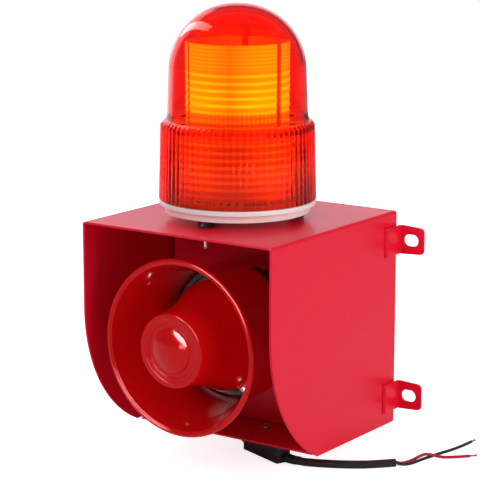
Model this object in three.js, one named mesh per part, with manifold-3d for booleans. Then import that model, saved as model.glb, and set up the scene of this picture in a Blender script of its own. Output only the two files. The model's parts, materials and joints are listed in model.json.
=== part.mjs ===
// Alarm siren: a painted steel hood with a reflex horn inside it, a rotating beacon on its roof,
// and an in-line module with its cable under its floor.
// Millimetres. +Z is up, the horn faces -Y, and the wall is the plane Y = 0.
// The origin is the middle of the pattern of the four ear slots, in the wall plane.

import * as THREE from 'three';
import { mergeVertices } from 'three/addons/utils/BufferGeometryUtils.js';
import Module from 'manifold-3d';

// ---------------------------------------------------------------- driving dimensions

const GAP = 0.3;                    // air between pieces that touch
const OVERRUN = 2;                  // how far a cutter passes the faces that it cuts

const HOOD_WIDTH = 148;
const HOOD_DEPTH = 149;
const HOOD_HEIGHT = 146;
const SHEET = 1.5;                  // thickness of every steel sheet
const BEND_RADIUS = 2;              // outside radius of the roof's two folds
const CHEEK_STRAIGHT = 58.2;        // the cheek's front edge is upright this far down
const CHEEK_SWEEP = 65.4;           // degrees of ellipse in the cheek's front curve
const FLOOR_SETBACK = 54;           // from the hood's front to the floor's front edge
const FLOOR_FLANGE = 8;
const REAR_FLANGE = 11;

const WALL_GAP = 4;                 // from the hood's back to the wall
const EAR_RISE = 19.5;
const EAR_REACH = 19.5;
const EAR_SHEET = 1.5;
const EAR_UPPER_DROP = 19.75;       // from the roof to the middle of an upper ear
const EAR_LOWER_LIFT = 18.75;       // from the floor's underside to the middle of a lower ear
const EAR_SLIT_SETBACK = 18.3;      // from the wall plane forward to the slit's middle
const EAR_HOOK = 4;                 // how far the strap's end reaches inside the hood
const EAR_SLOT_OFFSET = 9.7;        // from the cheek to the middle of the slot
const EAR_SLOT_LENGTH = 11;
const EAR_SLOT_WIDTH = 8;
const EAR_CORNER = 3;

const COVER_SCREW_RADIUS = 1.8;
const COVER_SCREW_LENGTH = 8;
const COVER_SCREW_INSET = 16;

const HORN_DROP = 74.9;             // from the roof to the horn's axis
const HORN_RIM_SETBACK = 4.9;       // from the hood's front to the rim's plane
const HORN_RIM_RADIUS = 58.3;
const HORN_BEAD_RADIUS = 1.7;
const HORN_WALL = 2.2;
const BELL_DEPTH = 57;              // from the rim's plane to the inside of the back plate
const BELL_BACK = 2.5;
const BELL_WAIST_RADIUS = 44;       // inside radius where the bell meets its back plate
const BELL_MOUTH_HOLE = 16;

const REFLECTOR_FACE_RADIUS = 24.5;
const REFLECTOR_FACE_PROUD = 9;     // the face stands this far in front of the rim's plane
const REFLECTOR_DOME_RADIUS = 14;
const REFLECTOR_DOME_RISE = 3;
const REFLECTOR_SKIRT_RADIUS = 37;
const REFLECTOR_SKIRT_DEPTH = 41;
const REFLECTOR_WALL = 1.8;
const LUG_ANGLE = -53;              // degrees, seen from the front
const LUG_RADIUS = 40;
const LUG_WIDTH = 7.6;
const LUG_THICKNESS = 3;
const LUG_SCREW_RADIUS = 1.5;

const SPIDER_THICKNESS = 3.2;
const SPIDER_POST_RADIUS = 3.4;
const THROAT_WALL = 1.5;
const THROAT_FRONT_RADIUS = 19;
const THROAT_REAR_RADIUS = 12.5;
const THROAT_FLANGE_RADIUS = 20;
const THROAT_FLANGE = 2.2;
const THROAT_LENGTH = 49;

const DRIVER_RADIUS = 37;
const DRIVER_WALL = 2;
const YOKE_RADIUS = 27;
const YOKE_THICKNESS = 4;
const POLE_RADIUS = 10;
const POLE_LENGTH = 17;
const MAGNET_INNER_RADIUS = 15;
const MAGNET_RADIUS = 30;
const MAGNET_THICKNESS = 10;
const FRONT_PLATE_RADIUS = 28;
const FRONT_PLATE_THICKNESS = 4.4;
const COIL_CLEARANCE = 0.6;         // on each side of the coil, in the magnet's gap
const COIL_WALL = 1.4;
const COIL_LENGTH = 11.5;
const DIAPHRAGM_RADIUS = 26;
const DIAPHRAGM_DOME_RISE = 4;
const DIAPHRAGM_WALL = 0.8;
const DIAPHRAGM_LIFT = 2.4;         // from the front plate to the diaphragm at rest
const DIAPHRAGM_AIR = 0.5;          // from the diaphragm's dome to the housing's front
const STUD_RADIUS = 3;
const STUD_REACH = 9;               // how far the stud stands out behind the partition
const STUD_CLEARANCE = 0.4;
const STUD_NUT_WIDTH = 10;
const STUD_NUT_HEIGHT = 5;

const BOARD_WIDTH = 84;
const BOARD_HEIGHT = 62;
const BOARD_SHEET = 1.6;
const BOARD_STANDOFF = 12;
const STANDOFF_RADIUS = 3;
const TRANSFORMER_SIZE = [24, 17, 20];
const CAPACITOR_RADIUS = 6;
const CAPACITOR_LENGTH = 20;

const BEACON_SETBACK = 69.6;        // from the hood's front to the beacon's axis
const BASE_LIFT = 5;                // from the roof to the underside of the base
const BASE_STEP_IN = 3.8;           // the lower step stands this far inside the upper one
const BASE_LOWER_HEIGHT = 4.8;
const BASE_OVERHANG = 0.2;          // the lens stands this far proud of the base
const BASE_UPPER_HEIGHT = 3.4;
const BASE_FLOOR = 3;
const SPIGOT_CLEARANCE = 1;         // between the spigot and the lens around it
const BASE_SPIGOT_WALL = 1.6;
const BASE_SPIGOT_HEIGHT = 3;
const BASE_HOLE_RADIUS = 5;
const FOOT_ANGLE = -87;
const FOOT_CIRCLE = 38;
const FOOT_RADIUS = 5.5;
const BASE_SCREW_RADIUS = 1.9;
const BASE_SCREW_REACH = 14;        // how far a screw hangs below the roof
const SCREW_CLEARANCE = 0.4;

const COLLAR_BOTTOM_RADIUS = 51.5;
const COLLAR_TOP_RADIUS = 50.2;
const COLLAR_HEIGHT = 50.5;         // from the base to the collar's shoulder
const DOME_FOOT_RADIUS = 45.6;
const DOME_FOOT_HEIGHT = 56;        // from the base to the foot of the dome
const DOME_SHOULDER_RADIUS = 44.5;
const DOME_SHOULDER_HEIGHT = 82.5;
const DOME_HEIGHT = 126.4;
const CROWN_FULLNESS = 0.95;        // 1 makes the crown's outline an ellipse
const LENS_WALL = 2.5;

const CHASSIS_RADIUS = 33.5;
const CHASSIS_SHEET = 2;
const AXLE_RADIUS = 4;
const AXLE_BORE_RADIUS = 2.5;
const AXLE_COLLAR_RADIUS = 7;
const ROTOR_CLEARANCE = 0.25;
const GEAR_MODULE = 1;
const GEAR_TEETH = 40;
const PINION_TEETH = 10;
const GEAR_THICKNESS = 5;
const TOOTH_ROOT = 1.25;             // below the pitch circle
const TOOTH_TIP = 0.9;               // above the pitch circle
const ROTOR_HUB_RADIUS = 8;
const ROTOR_HUB_LIFT = 27;          // from the chassis to the underside of the hub
const ROTOR_HUB_HEIGHT = 13;
const ROTOR_DISC_SHEET = 3;
const PANEL_COUNT = 3;
const PANEL_SWEEP = 111;            // degrees of drum that one panel covers
const PANEL_ANGLE = -63.5;          // where the middle of the first panel faces, from +X
const PANEL_WALL = 2;
const PANEL_SIDE_AIR = 1.5;         // between the drum's wide part and the collar around it
const PANEL_RADIUS_UPPER = 34;
const PANEL_DROP = 32;              // how far a panel hangs below the rotor's disc
const PANEL_TOP_AIR = 5.2;          // between the drum's top edge and the crown over it
const LAMP_POST_RADIUS = 9;
const LAMP_POST_DROP = 6;           // from the drum's top edge down to the top of the post
const LED_ROWS = 6;
const LED_SIZE = 4;
const LED_PROUD = 1.4;
const MOTOR_RADIUS = 7.5;
const MOTOR_SHAFT_RADIUS = 1;

const MODULE_LENGTH = 40;
const MODULE_DEPTH = 11.4;
const MODULE_HEIGHT = 17.7;
const MODULE_WALL = 1.5;
const MODULE_LID = 1.5;
const MODULE_TURN = -20.7;          // degrees about Z
const MODULE_PLACE = [14.2, 83.3];  // middle of the module, from the hood's front at mid width
const MODULE_SCREW_RADIUS = 1.5;
const MODULE_SCREW_LENGTH = 12;
const MODULE_BOSS_RADIUS = 3;
const NUT_RADIUS = 5.4;
const NUT_LENGTH = 5;
const NUT_DROP = 10.2;              // from the hood's floor to the nut's axis
const LEAD_RADIUS = 2.6;
const LEAD_CLEARANCE = 0.6;
const GROMMET_X = -28;
const GROMMET_SETOFF = 2;           // from the partition to the grommet's edge
const GROMMET_RADIUS = 6.5;
const GROMMET_NECK = 4.6;
const GROMMET_LIP = 1.2;

const RELIEF_RADIUS = 3.3;
const CABLE_RADIUS = 2.75;
const WIRE_RADIUS = 1.05;
const STRAND_RADIUS = 0.7;
const STRAND_LENGTH = 5;

// ---------------------------------------------------------------- places worked out from them

// Height of the crown's inner face above the roof, at a distance from the beacon's axis.
function crownHeight(radius) {
  const share = (radius / (DOME_SHOULDER_RADIUS - LENS_WALL)) ** (1 / CROWN_FULLNESS);
  const climb = Math.sin(Math.acos(share));
  const shoulder = LENS_BOTTOM + DOME_SHOULDER_HEIGHT;
  return shoulder + (DOME_HEIGHT - DOME_SHOULDER_HEIGHT - LENS_WALL) * climb;
}

const EAR_PITCH = HOOD_HEIGHT - EAR_UPPER_DROP - EAR_LOWER_LIFT;
const HOOD_TOP = EAR_UPPER_DROP + EAR_PITCH / 2;
const HOOD_FRONT = -(HOOD_DEPTH + WALL_GAP);
const BENCH = HOOD_TOP - HOOD_HEIGHT - GAP - MODULE_HEIGHT;
const INNER_HALF = HOOD_WIDTH / 2 - SHEET - GAP;
const COVER_FRONT = HOOD_DEPTH - SHEET;
const REAR_FLANGE_BACK = COVER_FRONT - GAP;
const COVER_SCREW_X = HOOD_WIDTH / 2 - SHEET - REAR_FLANGE / 2;
const COVER_SCREW_DROPS = [COVER_SCREW_INSET, HOOD_HEIGHT - FLOOR_FLANGE - SHEET - COVER_SCREW_INSET];

const SPIDER_FRONT = -(BELL_DEPTH - GAP - SPIDER_THICKNESS);
const LUG_FRONT = -(REFLECTOR_SKIRT_DEPTH - LUG_THICKNESS);
const BELL_BACK_FACE = -(BELL_DEPTH + BELL_BACK);
const MAGNET_STACK = YOKE_THICKNESS + MAGNET_THICKNESS + FRONT_PLATE_THICKNESS + 3 * GAP;
const DIAPHRAGM_STACK = DIAPHRAGM_LIFT + DIAPHRAGM_WALL + DIAPHRAGM_DOME_RISE + DIAPHRAGM_AIR;
const DRIVER_DEPTH = DRIVER_WALL + MAGNET_STACK + DIAPHRAGM_STACK;
const DRIVER_BACK = BELL_BACK_FACE - GAP - DRIVER_DEPTH;
const PARTITION_SETBACK = HORN_RIM_SETBACK - DRIVER_BACK + GAP;
const GROMMET_SETBACK = PARTITION_SETBACK + SHEET + GROMMET_SETOFF + GROMMET_RADIUS;
const GROMMET_PLACE = [GROMMET_X, GROMMET_SETBACK];
const YOKE_BACK = DRIVER_BACK + DRIVER_WALL + GAP;
const MAGNET_BACK = YOKE_BACK + YOKE_THICKNESS + GAP;
const FRONT_PLATE_BACK = MAGNET_BACK + MAGNET_THICKNESS + GAP;
const FRONT_PLATE_FACE = FRONT_PLATE_BACK + FRONT_PLATE_THICKNESS;
const COIL_INNER_RADIUS = POLE_RADIUS + COIL_CLEARANCE;
const COIL_RADIUS = COIL_INNER_RADIUS + COIL_WALL;
const DIAPHRAGM_BACK = FRONT_PLATE_FACE + DIAPHRAGM_LIFT;

const BASE_UPPER_RADIUS = COLLAR_BOTTOM_RADIUS - BASE_OVERHANG;
const BASE_LOWER_RADIUS = BASE_UPPER_RADIUS - BASE_STEP_IN;
const BASE_SPIGOT_RADIUS = COLLAR_BOTTOM_RADIUS - LENS_WALL - SPIGOT_CLEARANCE;
const BASE_STEP = BASE_LIFT + BASE_LOWER_HEIGHT;
const BASE_TOP = BASE_STEP + BASE_UPPER_HEIGHT;
const BASE_FLOOR_TOP = BASE_LIFT + BASE_FLOOR;
const LENS_BOTTOM = BASE_TOP + GAP;
const CHASSIS_TOP = BASE_FLOOR_TOP + GAP + CHASSIS_SHEET;
const HUB_BOTTOM = CHASSIS_TOP + ROTOR_HUB_LIFT;
const GEAR_BOTTOM = HUB_BOTTOM + 2;
const DISC_BOTTOM = HUB_BOTTOM + ROTOR_HUB_HEIGHT;
const DISC_TOP = DISC_BOTTOM + ROTOR_DISC_SHEET;
const AXLE_TOP = DISC_TOP + 2;
const PANEL_RADIUS_LOWER = COLLAR_TOP_RADIUS - LENS_WALL - PANEL_SIDE_AIR;
const PANEL_TOP = crownHeight(PANEL_RADIUS_UPPER) - PANEL_TOP_AIR;
const LAMP_POST_HEIGHT = PANEL_TOP - LAMP_POST_DROP - AXLE_TOP - GAP;
const GEAR_PITCH_RADIUS = GEAR_MODULE * GEAR_TEETH / 2;
const PINION_PITCH_RADIUS = GEAR_MODULE * PINION_TEETH / 2;
const MOTOR_OFFSET = GEAR_PITCH_RADIUS + PINION_PITCH_RADIUS;
const MOTOR_TOP = GEAR_BOTTOM - 2;

// ---------------------------------------------------------------- finishes

const finish = (color, roughness, metalness = 0, extra = {}) =>
  new THREE.MeshStandardMaterial({ color, roughness, metalness, ...extra });

const RED_PAINT = finish(0xd8142c, 0.35);
const RED_PLASTIC = finish(0xd20a0a, 0.2);
const BLACK_PLASTIC = finish(0x1c1c20, 0.5);
const BLACK_RUBBER = finish(0x151517, 0.8);
const WHITE_PLASTIC = finish(0xece6dc, 0.45);
const AMBER_LENS = finish(0xff9a1e, 0.25, 0, { transparent: true, opacity: 0.7 });
const RED_LENS = finish(0xe01808, 0.12, 0, { transparent: true, opacity: 0.5 });
const STEEL = finish(0xb8bcc0, 0.3, 1);
const FERRITE = finish(0x3a3a3e, 0.7);
const COPPER = finish(0xc87a3c, 0.35, 1);
const GREEN_BOARD = finish(0x1d5a34, 0.5);
const RED_PVC = finish(0xb01626, 0.5);

// ---------------------------------------------------------------- shape helpers

const wasm = await Module();
wasm.setup();

const radians = THREE.MathUtils.degToRad;

// Merges shared vertices, drops triangles without area and turns the faces outwards.
function closed(geometry) {
  const bare = geometry.clone();
  bare.deleteAttribute('normal');
  bare.deleteAttribute('uv');
  const merged = mergeVertices(bare, 1e-4);
  const place = merged.attributes.position;
  const old = merged.index.array;
  const index = [];
  const a = new THREE.Vector3();
  const b = new THREE.Vector3();
  const c = new THREE.Vector3();
  let volume = 0;
  for (let i = 0; i < old.length; i += 3) {
    const [p, q, r] = [old[i], old[i + 1], old[i + 2]];
    if (p === q || q === r || r === p) continue;
    index.push(p, q, r);
    a.fromBufferAttribute(place, p);
    b.fromBufferAttribute(place, q);
    c.fromBufferAttribute(place, r);
    volume += a.dot(b.cross(c));
  }
  if (volume < 0) index.reverse();
  merged.setIndex(index);
  merged.computeVertexNormals();
  return merged;
}

function solid(geometry) {
  const mesh = closed(geometry);
  return new wasm.Manifold(new wasm.Mesh({
    numProp: 3,
    vertProperties: new Float32Array(mesh.attributes.position.array),
    triVerts: new Uint32Array(mesh.index.array),
  }));
}

function surface(body) {
  const mesh = body.getMesh();
  const geometry = new THREE.BufferGeometry();
  const places = Array.from(mesh.vertProperties);
  geometry.setAttribute('position', new THREE.Float32BufferAttribute(places, 3));
  geometry.setIndex(Array.from(mesh.triVerts));
  geometry.computeVertexNormals();
  return geometry;
}

const cut = (geometry, cutters) =>
  surface(cutters.reduce((body, tool) => body.subtract(solid(tool)), solid(geometry)));

const join = (...geometries) =>
  surface(geometries.map(solid).reduce((body, other) => body.add(other)));

const common = (first, second) => surface(solid(first).intersect(solid(second)));

function outline(points) {
  return new THREE.Shape(points.map(([x, y]) => new THREE.Vector2(x, y)));
}

const extrude = (shape, depth, curveSegments = 6) =>
  new THREE.ExtrudeGeometry(shape, { depth, bevelEnabled: false, curveSegments });

// A shape drawn in X and Y, standing from z0 to z1.
const alongZ = (shape, z0, z1, fine) => extrude(shape, z1 - z0, fine).translate(0, 0, z0);

// A shape drawn in X and Z, running from y0 to y1.
const alongY = (shape, y0, y1, fine) =>
  extrude(shape, y1 - y0, fine).rotateX(Math.PI / 2).translate(0, y1, 0);

// A shape drawn in Y and Z, running from x0 to x1.
function alongX(shape, x0, x1, fine) {
  const turn = new THREE.Matrix4().makeBasis(
    new THREE.Vector3(0, 1, 0), new THREE.Vector3(0, 0, 1), new THREE.Vector3(1, 0, 0));
  return extrude(shape, x1 - x0, fine).applyMatrix4(turn).translate(x0, 0, 0);
}

function block([x0, x1], [y0, y1], [z0, z1]) {
  return new THREE.BoxGeometry(x1 - x0, y1 - y0, z1 - z0)
    .translate((x0 + x1) / 2, (y0 + y1) / 2, (z0 + z1) / 2);
}

// A round bar along Z from z0 to z1.
function bar(radius, z0, z1, sides = 20, [x, y] = [0, 0]) {
  return new THREE.CylinderGeometry(radius, radius, z1 - z0, sides)
    .rotateX(Math.PI / 2).translate(x, y, (z0 + z1) / 2);
}

// A turned piece about Z from [radius, height] points.
function turned(profile, sides = 32) {
  const points = profile.map(([radius, height]) => new THREE.Vector2(radius, height));
  return closed(new THREE.LatheGeometry(points, sides).rotateX(Math.PI / 2));
}

// A turned ring: the profile is closed on itself.
const turnedRing = (profile, sides) => turned([...profile, profile[0]], sides);

const ring = (inner, outer, z0, z1, sides) =>
  turnedRing([[inner, z0], [outer, z0], [outer, z1], [inner, z1]], sides);

// Points of a circular arc, from one angle to another in degrees.
function arc([cx, cy], radius, from, to, steps) {
  return Array.from({ length: steps + 1 }, (_, i) => {
    const angle = radians(from + (to - from) * i / steps);
    return [cx + radius * Math.cos(angle), cy + radius * Math.sin(angle)];
  });
}

// A bent strip seen edge on: the path is its middle line and its corners are mitred.
function strip(path, thickness) {
  const points = path.map(([x, y]) => new THREE.Vector2(x, y));
  const sides = [[], []];
  points.forEach((point, i) => {
    const before = points[Math.max(i - 1, 0)];
    const after = points[Math.min(i + 1, points.length - 1)];
    const into = (i ? point.clone().sub(before) : after.clone().sub(point)).normalize();
    const out = (i < points.length - 1 ? after.clone().sub(point) : into.clone()).normalize();
    const normal = new THREE.Vector2(-into.y - out.y, into.x + out.x).normalize();
    const reach = thickness / 2 / normal.dot(new THREE.Vector2(-into.y, into.x));
    sides[0].push([point.x + normal.x * reach, point.y + normal.y * reach]);
    sides[1].unshift([point.x - normal.x * reach, point.y - normal.y * reach]);
  });
  return outline([...sides[0], ...sides[1]]);
}

// A slot with round ends, lengthwise along the shape's X axis.
function stadium([cx, cy], length, width) {
  const run = (length - width) / 2;
  return outline([
    ...arc([cx + run, cy], width / 2, -90, 90, 6),
    ...arc([cx - run, cy], width / 2, 90, 270, 6),
  ]);
}

// A tube along a smooth curve through the points.
function tube(points, radius, steps, sides) {
  const path = new THREE.CatmullRomCurve3(points.map((p) => new THREE.Vector3(...p)));
  const section = outline(arc([0, 0], radius, 0, 360 * (sides - 1) / sides, sides - 1));
  return new THREE.ExtrudeGeometry(section, { steps, bevelEnabled: false, extrudePath: path });
}

const polar = (radius, degrees) =>
  [radius * Math.cos(radians(degrees)), radius * Math.sin(radians(degrees))];

const thirds = (start) => [0, 1, 2].map((i) => start + i * 120);

// ---------------------------------------------------------------- hood

// The roof and its two cheeks seen from the front: an upside-down U with two folds.
function hoodSection() {
  const half = HOOD_WIDTH / 2;
  const inside = BEND_RADIUS - SHEET;
  const right = half - BEND_RADIUS;
  return outline([
    [-half, -HOOD_HEIGHT],
    ...arc([-right, -BEND_RADIUS], BEND_RADIUS, 180, 90, 4),
    ...arc([right, -BEND_RADIUS], BEND_RADIUS, 90, 0, 4),
    [half, -HOOD_HEIGHT],
    [half - SHEET, -HOOD_HEIGHT],
    ...arc([right, -BEND_RADIUS], inside, 0, 90, 2),
    ...arc([-right, -BEND_RADIUS], inside, 90, 180, 2),
    [-half + SHEET, -HOOD_HEIGHT],
  ]);
}

// What the cheek's front curve leaves out, seen from the side.
function cheekWaste() {
  const end = radians(CHEEK_SWEEP);
  const across = FLOOR_SETBACK / (1 - Math.cos(end));
  const down = (HOOD_HEIGHT - CHEEK_STRAIGHT) / Math.sin(end);
  const steps = 14;
  const curve = Array.from({ length: steps + 1 }, (_, i) => {
    const angle = end * i / steps;
    return [across * (1 - Math.cos(angle)), -CHEEK_STRAIGHT - down * Math.sin(angle)];
  });
  return outline([
    [-OVERRUN, -CHEEK_STRAIGHT],
    ...curve,
    [FLOOR_SETBACK, -HOOD_HEIGHT - OVERRUN],
    [-OVERRUN, -HOOD_HEIGHT - OVERRUN],
  ]);
}

const earDrops = { upper: EAR_UPPER_DROP, lower: EAR_UPPER_DROP + EAR_PITCH };
const slitMiddle = HOOD_DEPTH + WALL_GAP - EAR_SLIT_SETBACK;

function earSlit(side, drop) {
  const half = HOOD_WIDTH / 2;
  const across = [half - SHEET - OVERRUN, half + OVERRUN].map((x) => x * side).sort((a, b) => a - b);
  const along = EAR_SHEET / 2 + GAP;
  const tall = EAR_RISE / 2 + GAP;
  return block(across, [slitMiddle - along, slitMiddle + along], [-drop - tall, -drop + tall]);
}

function hoodShell() {
  const half = HOOD_WIDTH / 2;
  const shell = alongY(hoodSection(), 0, HOOD_DEPTH);
  const flangeFoot = -(HOOD_HEIGHT - SHEET - FLOOR_FLANGE - 2);
  const flanges = [-1, 1].map((side) => {
    const across = [side * (half - SHEET / 2), side * (half - SHEET - REAR_FLANGE)].sort((a, b) => a - b);
    return block(across, [REAR_FLANGE_BACK - SHEET, REAR_FLANGE_BACK], [flangeFoot, -SHEET / 2]);
  });
  const slits = [-1, 1].flatMap((side) => Object.values(earDrops).map((drop) => earSlit(side, drop)));
  const coverHoles = coverScrewPlaces().map(([x, z]) =>
    bar(COVER_SCREW_RADIUS + SCREW_CLEARANCE, -OVERRUN, SHEET + OVERRUN, 12)
      .rotateX(-Math.PI / 2).translate(x, REAR_FLANGE_BACK - SHEET, z));
  const roofHoles = thirds(FOOT_ANGLE).map((angle) => {
    const [x, y] = polar(FOOT_CIRCLE, angle);
    return bar(BASE_SCREW_RADIUS + SCREW_CLEARANCE, -SHEET - OVERRUN, OVERRUN, 12,
      [x, BEACON_SETBACK + y]);
  });
  const wireHole = bar(BASE_HOLE_RADIUS, -SHEET - OVERRUN, OVERRUN, 16, [0, BEACON_SETBACK]);
  return cut(join(shell, ...flanges), [
    alongX(cheekWaste(), -half - OVERRUN, half + OVERRUN),
    ...slits,
    ...coverHoles,
    ...roofHoles,
    wireHole,
  ]);
}

// A shallow tray: the floor with its side flanges turned up against the cheeks.
function floorPlate() {
  const bottom = -HOOD_HEIGHT;
  const tray = outline([
    [-INNER_HALF, bottom + FLOOR_FLANGE],
    [-INNER_HALF, bottom],
    [INNER_HALF, bottom],
    [INNER_HALF, bottom + FLOOR_FLANGE],
    [INNER_HALF - SHEET, bottom + FLOOR_FLANGE],
    [INNER_HALF - SHEET, bottom + SHEET],
    [-INNER_HALF + SHEET, bottom + SHEET],
    [-INNER_HALF + SHEET, bottom + FLOOR_FLANGE],
  ]);
  const through = [bottom - OVERRUN, bottom + SHEET + OVERRUN];
  return cut(alongY(tray, FLOOR_SETBACK, COVER_FRONT - GAP), [
    block([-HOOD_WIDTH, HOOD_WIDTH], [0, FLOOR_SETBACK + FLOOR_FLANGE],
      [bottom + SHEET, bottom + FLOOR_FLANGE + OVERRUN]),
    bar(GROMMET_NECK + GAP, ...through, 20, GROMMET_PLACE),
    bar(MODULE_SCREW_RADIUS + SCREW_CLEARANCE, ...through, 12, MODULE_PLACE),
  ]);
}

function partitionPlate() {
  const half = INNER_HALF - SHEET - GAP;
  const sheet = block([-half, half], [PARTITION_SETBACK, PARTITION_SETBACK + SHEET],
    [-HOOD_HEIGHT + SHEET + GAP, -SHEET - GAP]);
  const stud = bar(STUD_RADIUS + STUD_CLEARANCE, -OVERRUN, SHEET + OVERRUN, 16)
    .rotateX(-Math.PI / 2).translate(0, PARTITION_SETBACK, -HORN_DROP);
  return cut(sheet, [stud]);
}

function coverScrewPlaces() {
  return [-1, 1].flatMap((side) => COVER_SCREW_DROPS.map((drop) => [side * COVER_SCREW_X, -drop]));
}

function rearCover() {
  const sheet = block([-INNER_HALF, INNER_HALF], [COVER_FRONT, HOOD_DEPTH], [-HOOD_HEIGHT, -SHEET - GAP]);
  return cut(sheet, coverScrewPlaces().map(([x, z]) =>
    bar(COVER_SCREW_RADIUS + SCREW_CLEARANCE, -OVERRUN, SHEET + OVERRUN, 12)
      .rotateX(-Math.PI / 2).translate(x, COVER_FRONT, z)));
}

// A pan-head screw along -Z with the underside of its head at z = 0.
function screw(radius, length, headRadius, headHeight, sides = 12) {
  return turned([
    [0, -length],
    [radius, -length],
    [radius, 0],
    [headRadius, 0],
    [headRadius, headHeight * 0.6],
    [headRadius * 0.7, headHeight],
    [0, headHeight],
  ], sides);
}

// One ear: a strap that hooks through its slit, lies on the cheek and turns out against the wall.
function ear(side) {
  const half = HOOD_WIDTH / 2;
  const face = half + GAP + EAR_SHEET / 2;
  const wall = HOOD_DEPTH + WALL_GAP - EAR_SHEET / 2;
  const path = [
    [side * (half - SHEET - EAR_HOOK), slitMiddle],
    [side * face, slitMiddle],
    [side * face, wall],
    [side * (half + EAR_REACH), wall],
  ];
  const rise = EAR_RISE / 2;
  const strap = alongZ(strip(path, EAR_SHEET), -rise, rise);
  const tip = half + EAR_REACH;
  const inner = half - SHEET - EAR_HOOK - OVERRUN;
  const tipRise = rise - 0.7;
  const elevation = outline([
    [side * inner, -rise - OVERRUN],
    [side * half, -rise - OVERRUN],
    [side * (half + 3), -rise],
    [side * (tip - EAR_CORNER), -tipRise],
    [side * (tip - EAR_CORNER * 0.3), -tipRise + EAR_CORNER * 0.3],
    [side * tip, -tipRise + EAR_CORNER],
    [side * tip, tipRise - EAR_CORNER],
    [side * (tip - EAR_CORNER * 0.3), tipRise - EAR_CORNER * 0.3],
    [side * (tip - EAR_CORNER), tipRise],
    [side * (half + 3), rise],
    [side * half, rise + OVERRUN],
    [side * inner, rise + OVERRUN],
  ]);
  const slot = stadium([side * (half + EAR_SLOT_OFFSET), 0], EAR_SLOT_LENGTH, EAR_SLOT_WIDTH);
  const reach = [slitMiddle - EAR_SHEET - OVERRUN, wall + EAR_SHEET + OVERRUN];
  return cut(common(strap, alongY(elevation, ...reach)), [
    alongY(slot, wall - EAR_SHEET - OVERRUN, reach[1]),
  ]);
}

// ---------------------------------------------------------------- horn
// Its own frame: Z runs forward out of the mouth, and z = 0 is the rim's plane.

// Inside radius of the bell at a depth behind the rim's plane.
function bellRadius(depth) {
  const mouth = HORN_RIM_RADIUS - 2 * HORN_BEAD_RADIUS - 0.7;
  const share = depth / BELL_DEPTH;
  return BELL_WAIST_RADIUS + (mouth - BELL_WAIST_RADIUS) * (1 - share) ** 2.2;
}

function hornBell() {
  const steps = [0, 0.08, 0.2, 0.36, 0.6, 1];
  const inside = steps.map((share) => [bellRadius(share * BELL_DEPTH), -share * BELL_DEPTH]);
  const outside = steps.slice(1).map((share) =>
    [bellRadius(share * BELL_DEPTH) + HORN_WALL, -share * BELL_DEPTH]);
  outside[outside.length - 1][1] = BELL_BACK_FACE;
  const bead = arc([HORN_RIM_RADIUS - HORN_BEAD_RADIUS, 0], HORN_BEAD_RADIUS, 130, -90, 5);
  return turnedRing([
    ...inside.slice(1).reverse(),
    [inside[0][0], 0],
    ...bead,
    ...outside,
    [BELL_MOUTH_HOLE, BELL_BACK_FACE],
    [BELL_MOUTH_HOLE, -BELL_DEPTH],
  ], 36);
}

function lugSpot(angle) {
  return polar(LUG_RADIUS, angle);
}

// The reflector: a deep cup that opens backwards, closed in front by a stepped face.
function hornReflector() {
  const face = REFLECTOR_FACE_PROUD;
  const grow = REFLECTOR_SKIRT_RADIUS - REFLECTOR_FACE_RADIUS;
  const run = REFLECTOR_SKIRT_DEPTH + face;
  const skirt = [0.03, 0.3, 0.55, 0.78, 1].map((share) =>
    [REFLECTOR_FACE_RADIUS + grow * share ** 1.7, face - share * run]);
  const inside = skirt.slice(1).reverse().map(([radius, z]) => [radius - REFLECTOR_WALL, z]);
  const dome = [0, 0.5, 0.85, 1].map((share) =>
    [REFLECTOR_DOME_RADIUS * share, face + REFLECTOR_DOME_RISE * (1 - share ** 2)]);
  const cup = turned([
    ...dome,
    [REFLECTOR_DOME_RADIUS + 1.5, face - 1.2],
    [REFLECTOR_DOME_RADIUS + 4, face - 1.2],
    [REFLECTOR_DOME_RADIUS + 5, face],
    [REFLECTOR_FACE_RADIUS - 1.4, face],
    ...skirt,
    ...inside,
    [REFLECTOR_FACE_RADIUS - REFLECTOR_WALL, face - 1.2 - REFLECTOR_WALL],
    [0, face - 1.2 - REFLECTOR_WALL],
  ], 36);
  const innerEdge = REFLECTOR_SKIRT_RADIUS - REFLECTOR_WALL * 0.6;
  const lugs = thirds(LUG_ANGLE).map((angle) => {
    const [x, y] = [innerEdge, LUG_RADIUS];
    const tab = outline([
      [x, -LUG_WIDTH / 2],
      ...arc([y, 0], LUG_WIDTH / 2, -90, 90, 5),
      [x, LUG_WIDTH / 2],
    ]);
    return alongZ(tab, -REFLECTOR_SKIRT_DEPTH, LUG_FRONT).rotateZ(radians(angle));
  });
  const holes = thirds(LUG_ANGLE).map((angle) =>
    bar(LUG_SCREW_RADIUS + GAP, -REFLECTOR_SKIRT_DEPTH - OVERRUN, LUG_FRONT + OVERRUN, 10, lugSpot(angle)));
  return cut(join(cup, ...lugs), holes);
}

// The black plate behind the reflector, with a post for each of its screws.
function hornSpider() {
  const back = SPIDER_FRONT - SPIDER_THICKNESS;
  const plate = ring(THROAT_REAR_RADIUS - THROAT_WALL, BELL_WAIST_RADIUS - 0.8, back, SPIDER_FRONT, 32);
  const top = -REFLECTOR_SKIRT_DEPTH - GAP;
  const posts = thirds(LUG_ANGLE).map((angle) =>
    bar(SPIDER_POST_RADIUS, back + 0.5, top, 12, lugSpot(angle)));
  const bores = thirds(LUG_ANGLE).map((angle) =>
    bar(LUG_SCREW_RADIUS + GAP, SPIDER_FRONT - 1, top + OVERRUN, 10, lugSpot(angle)));
  return cut(join(plate, ...posts), bores);
}

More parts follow.
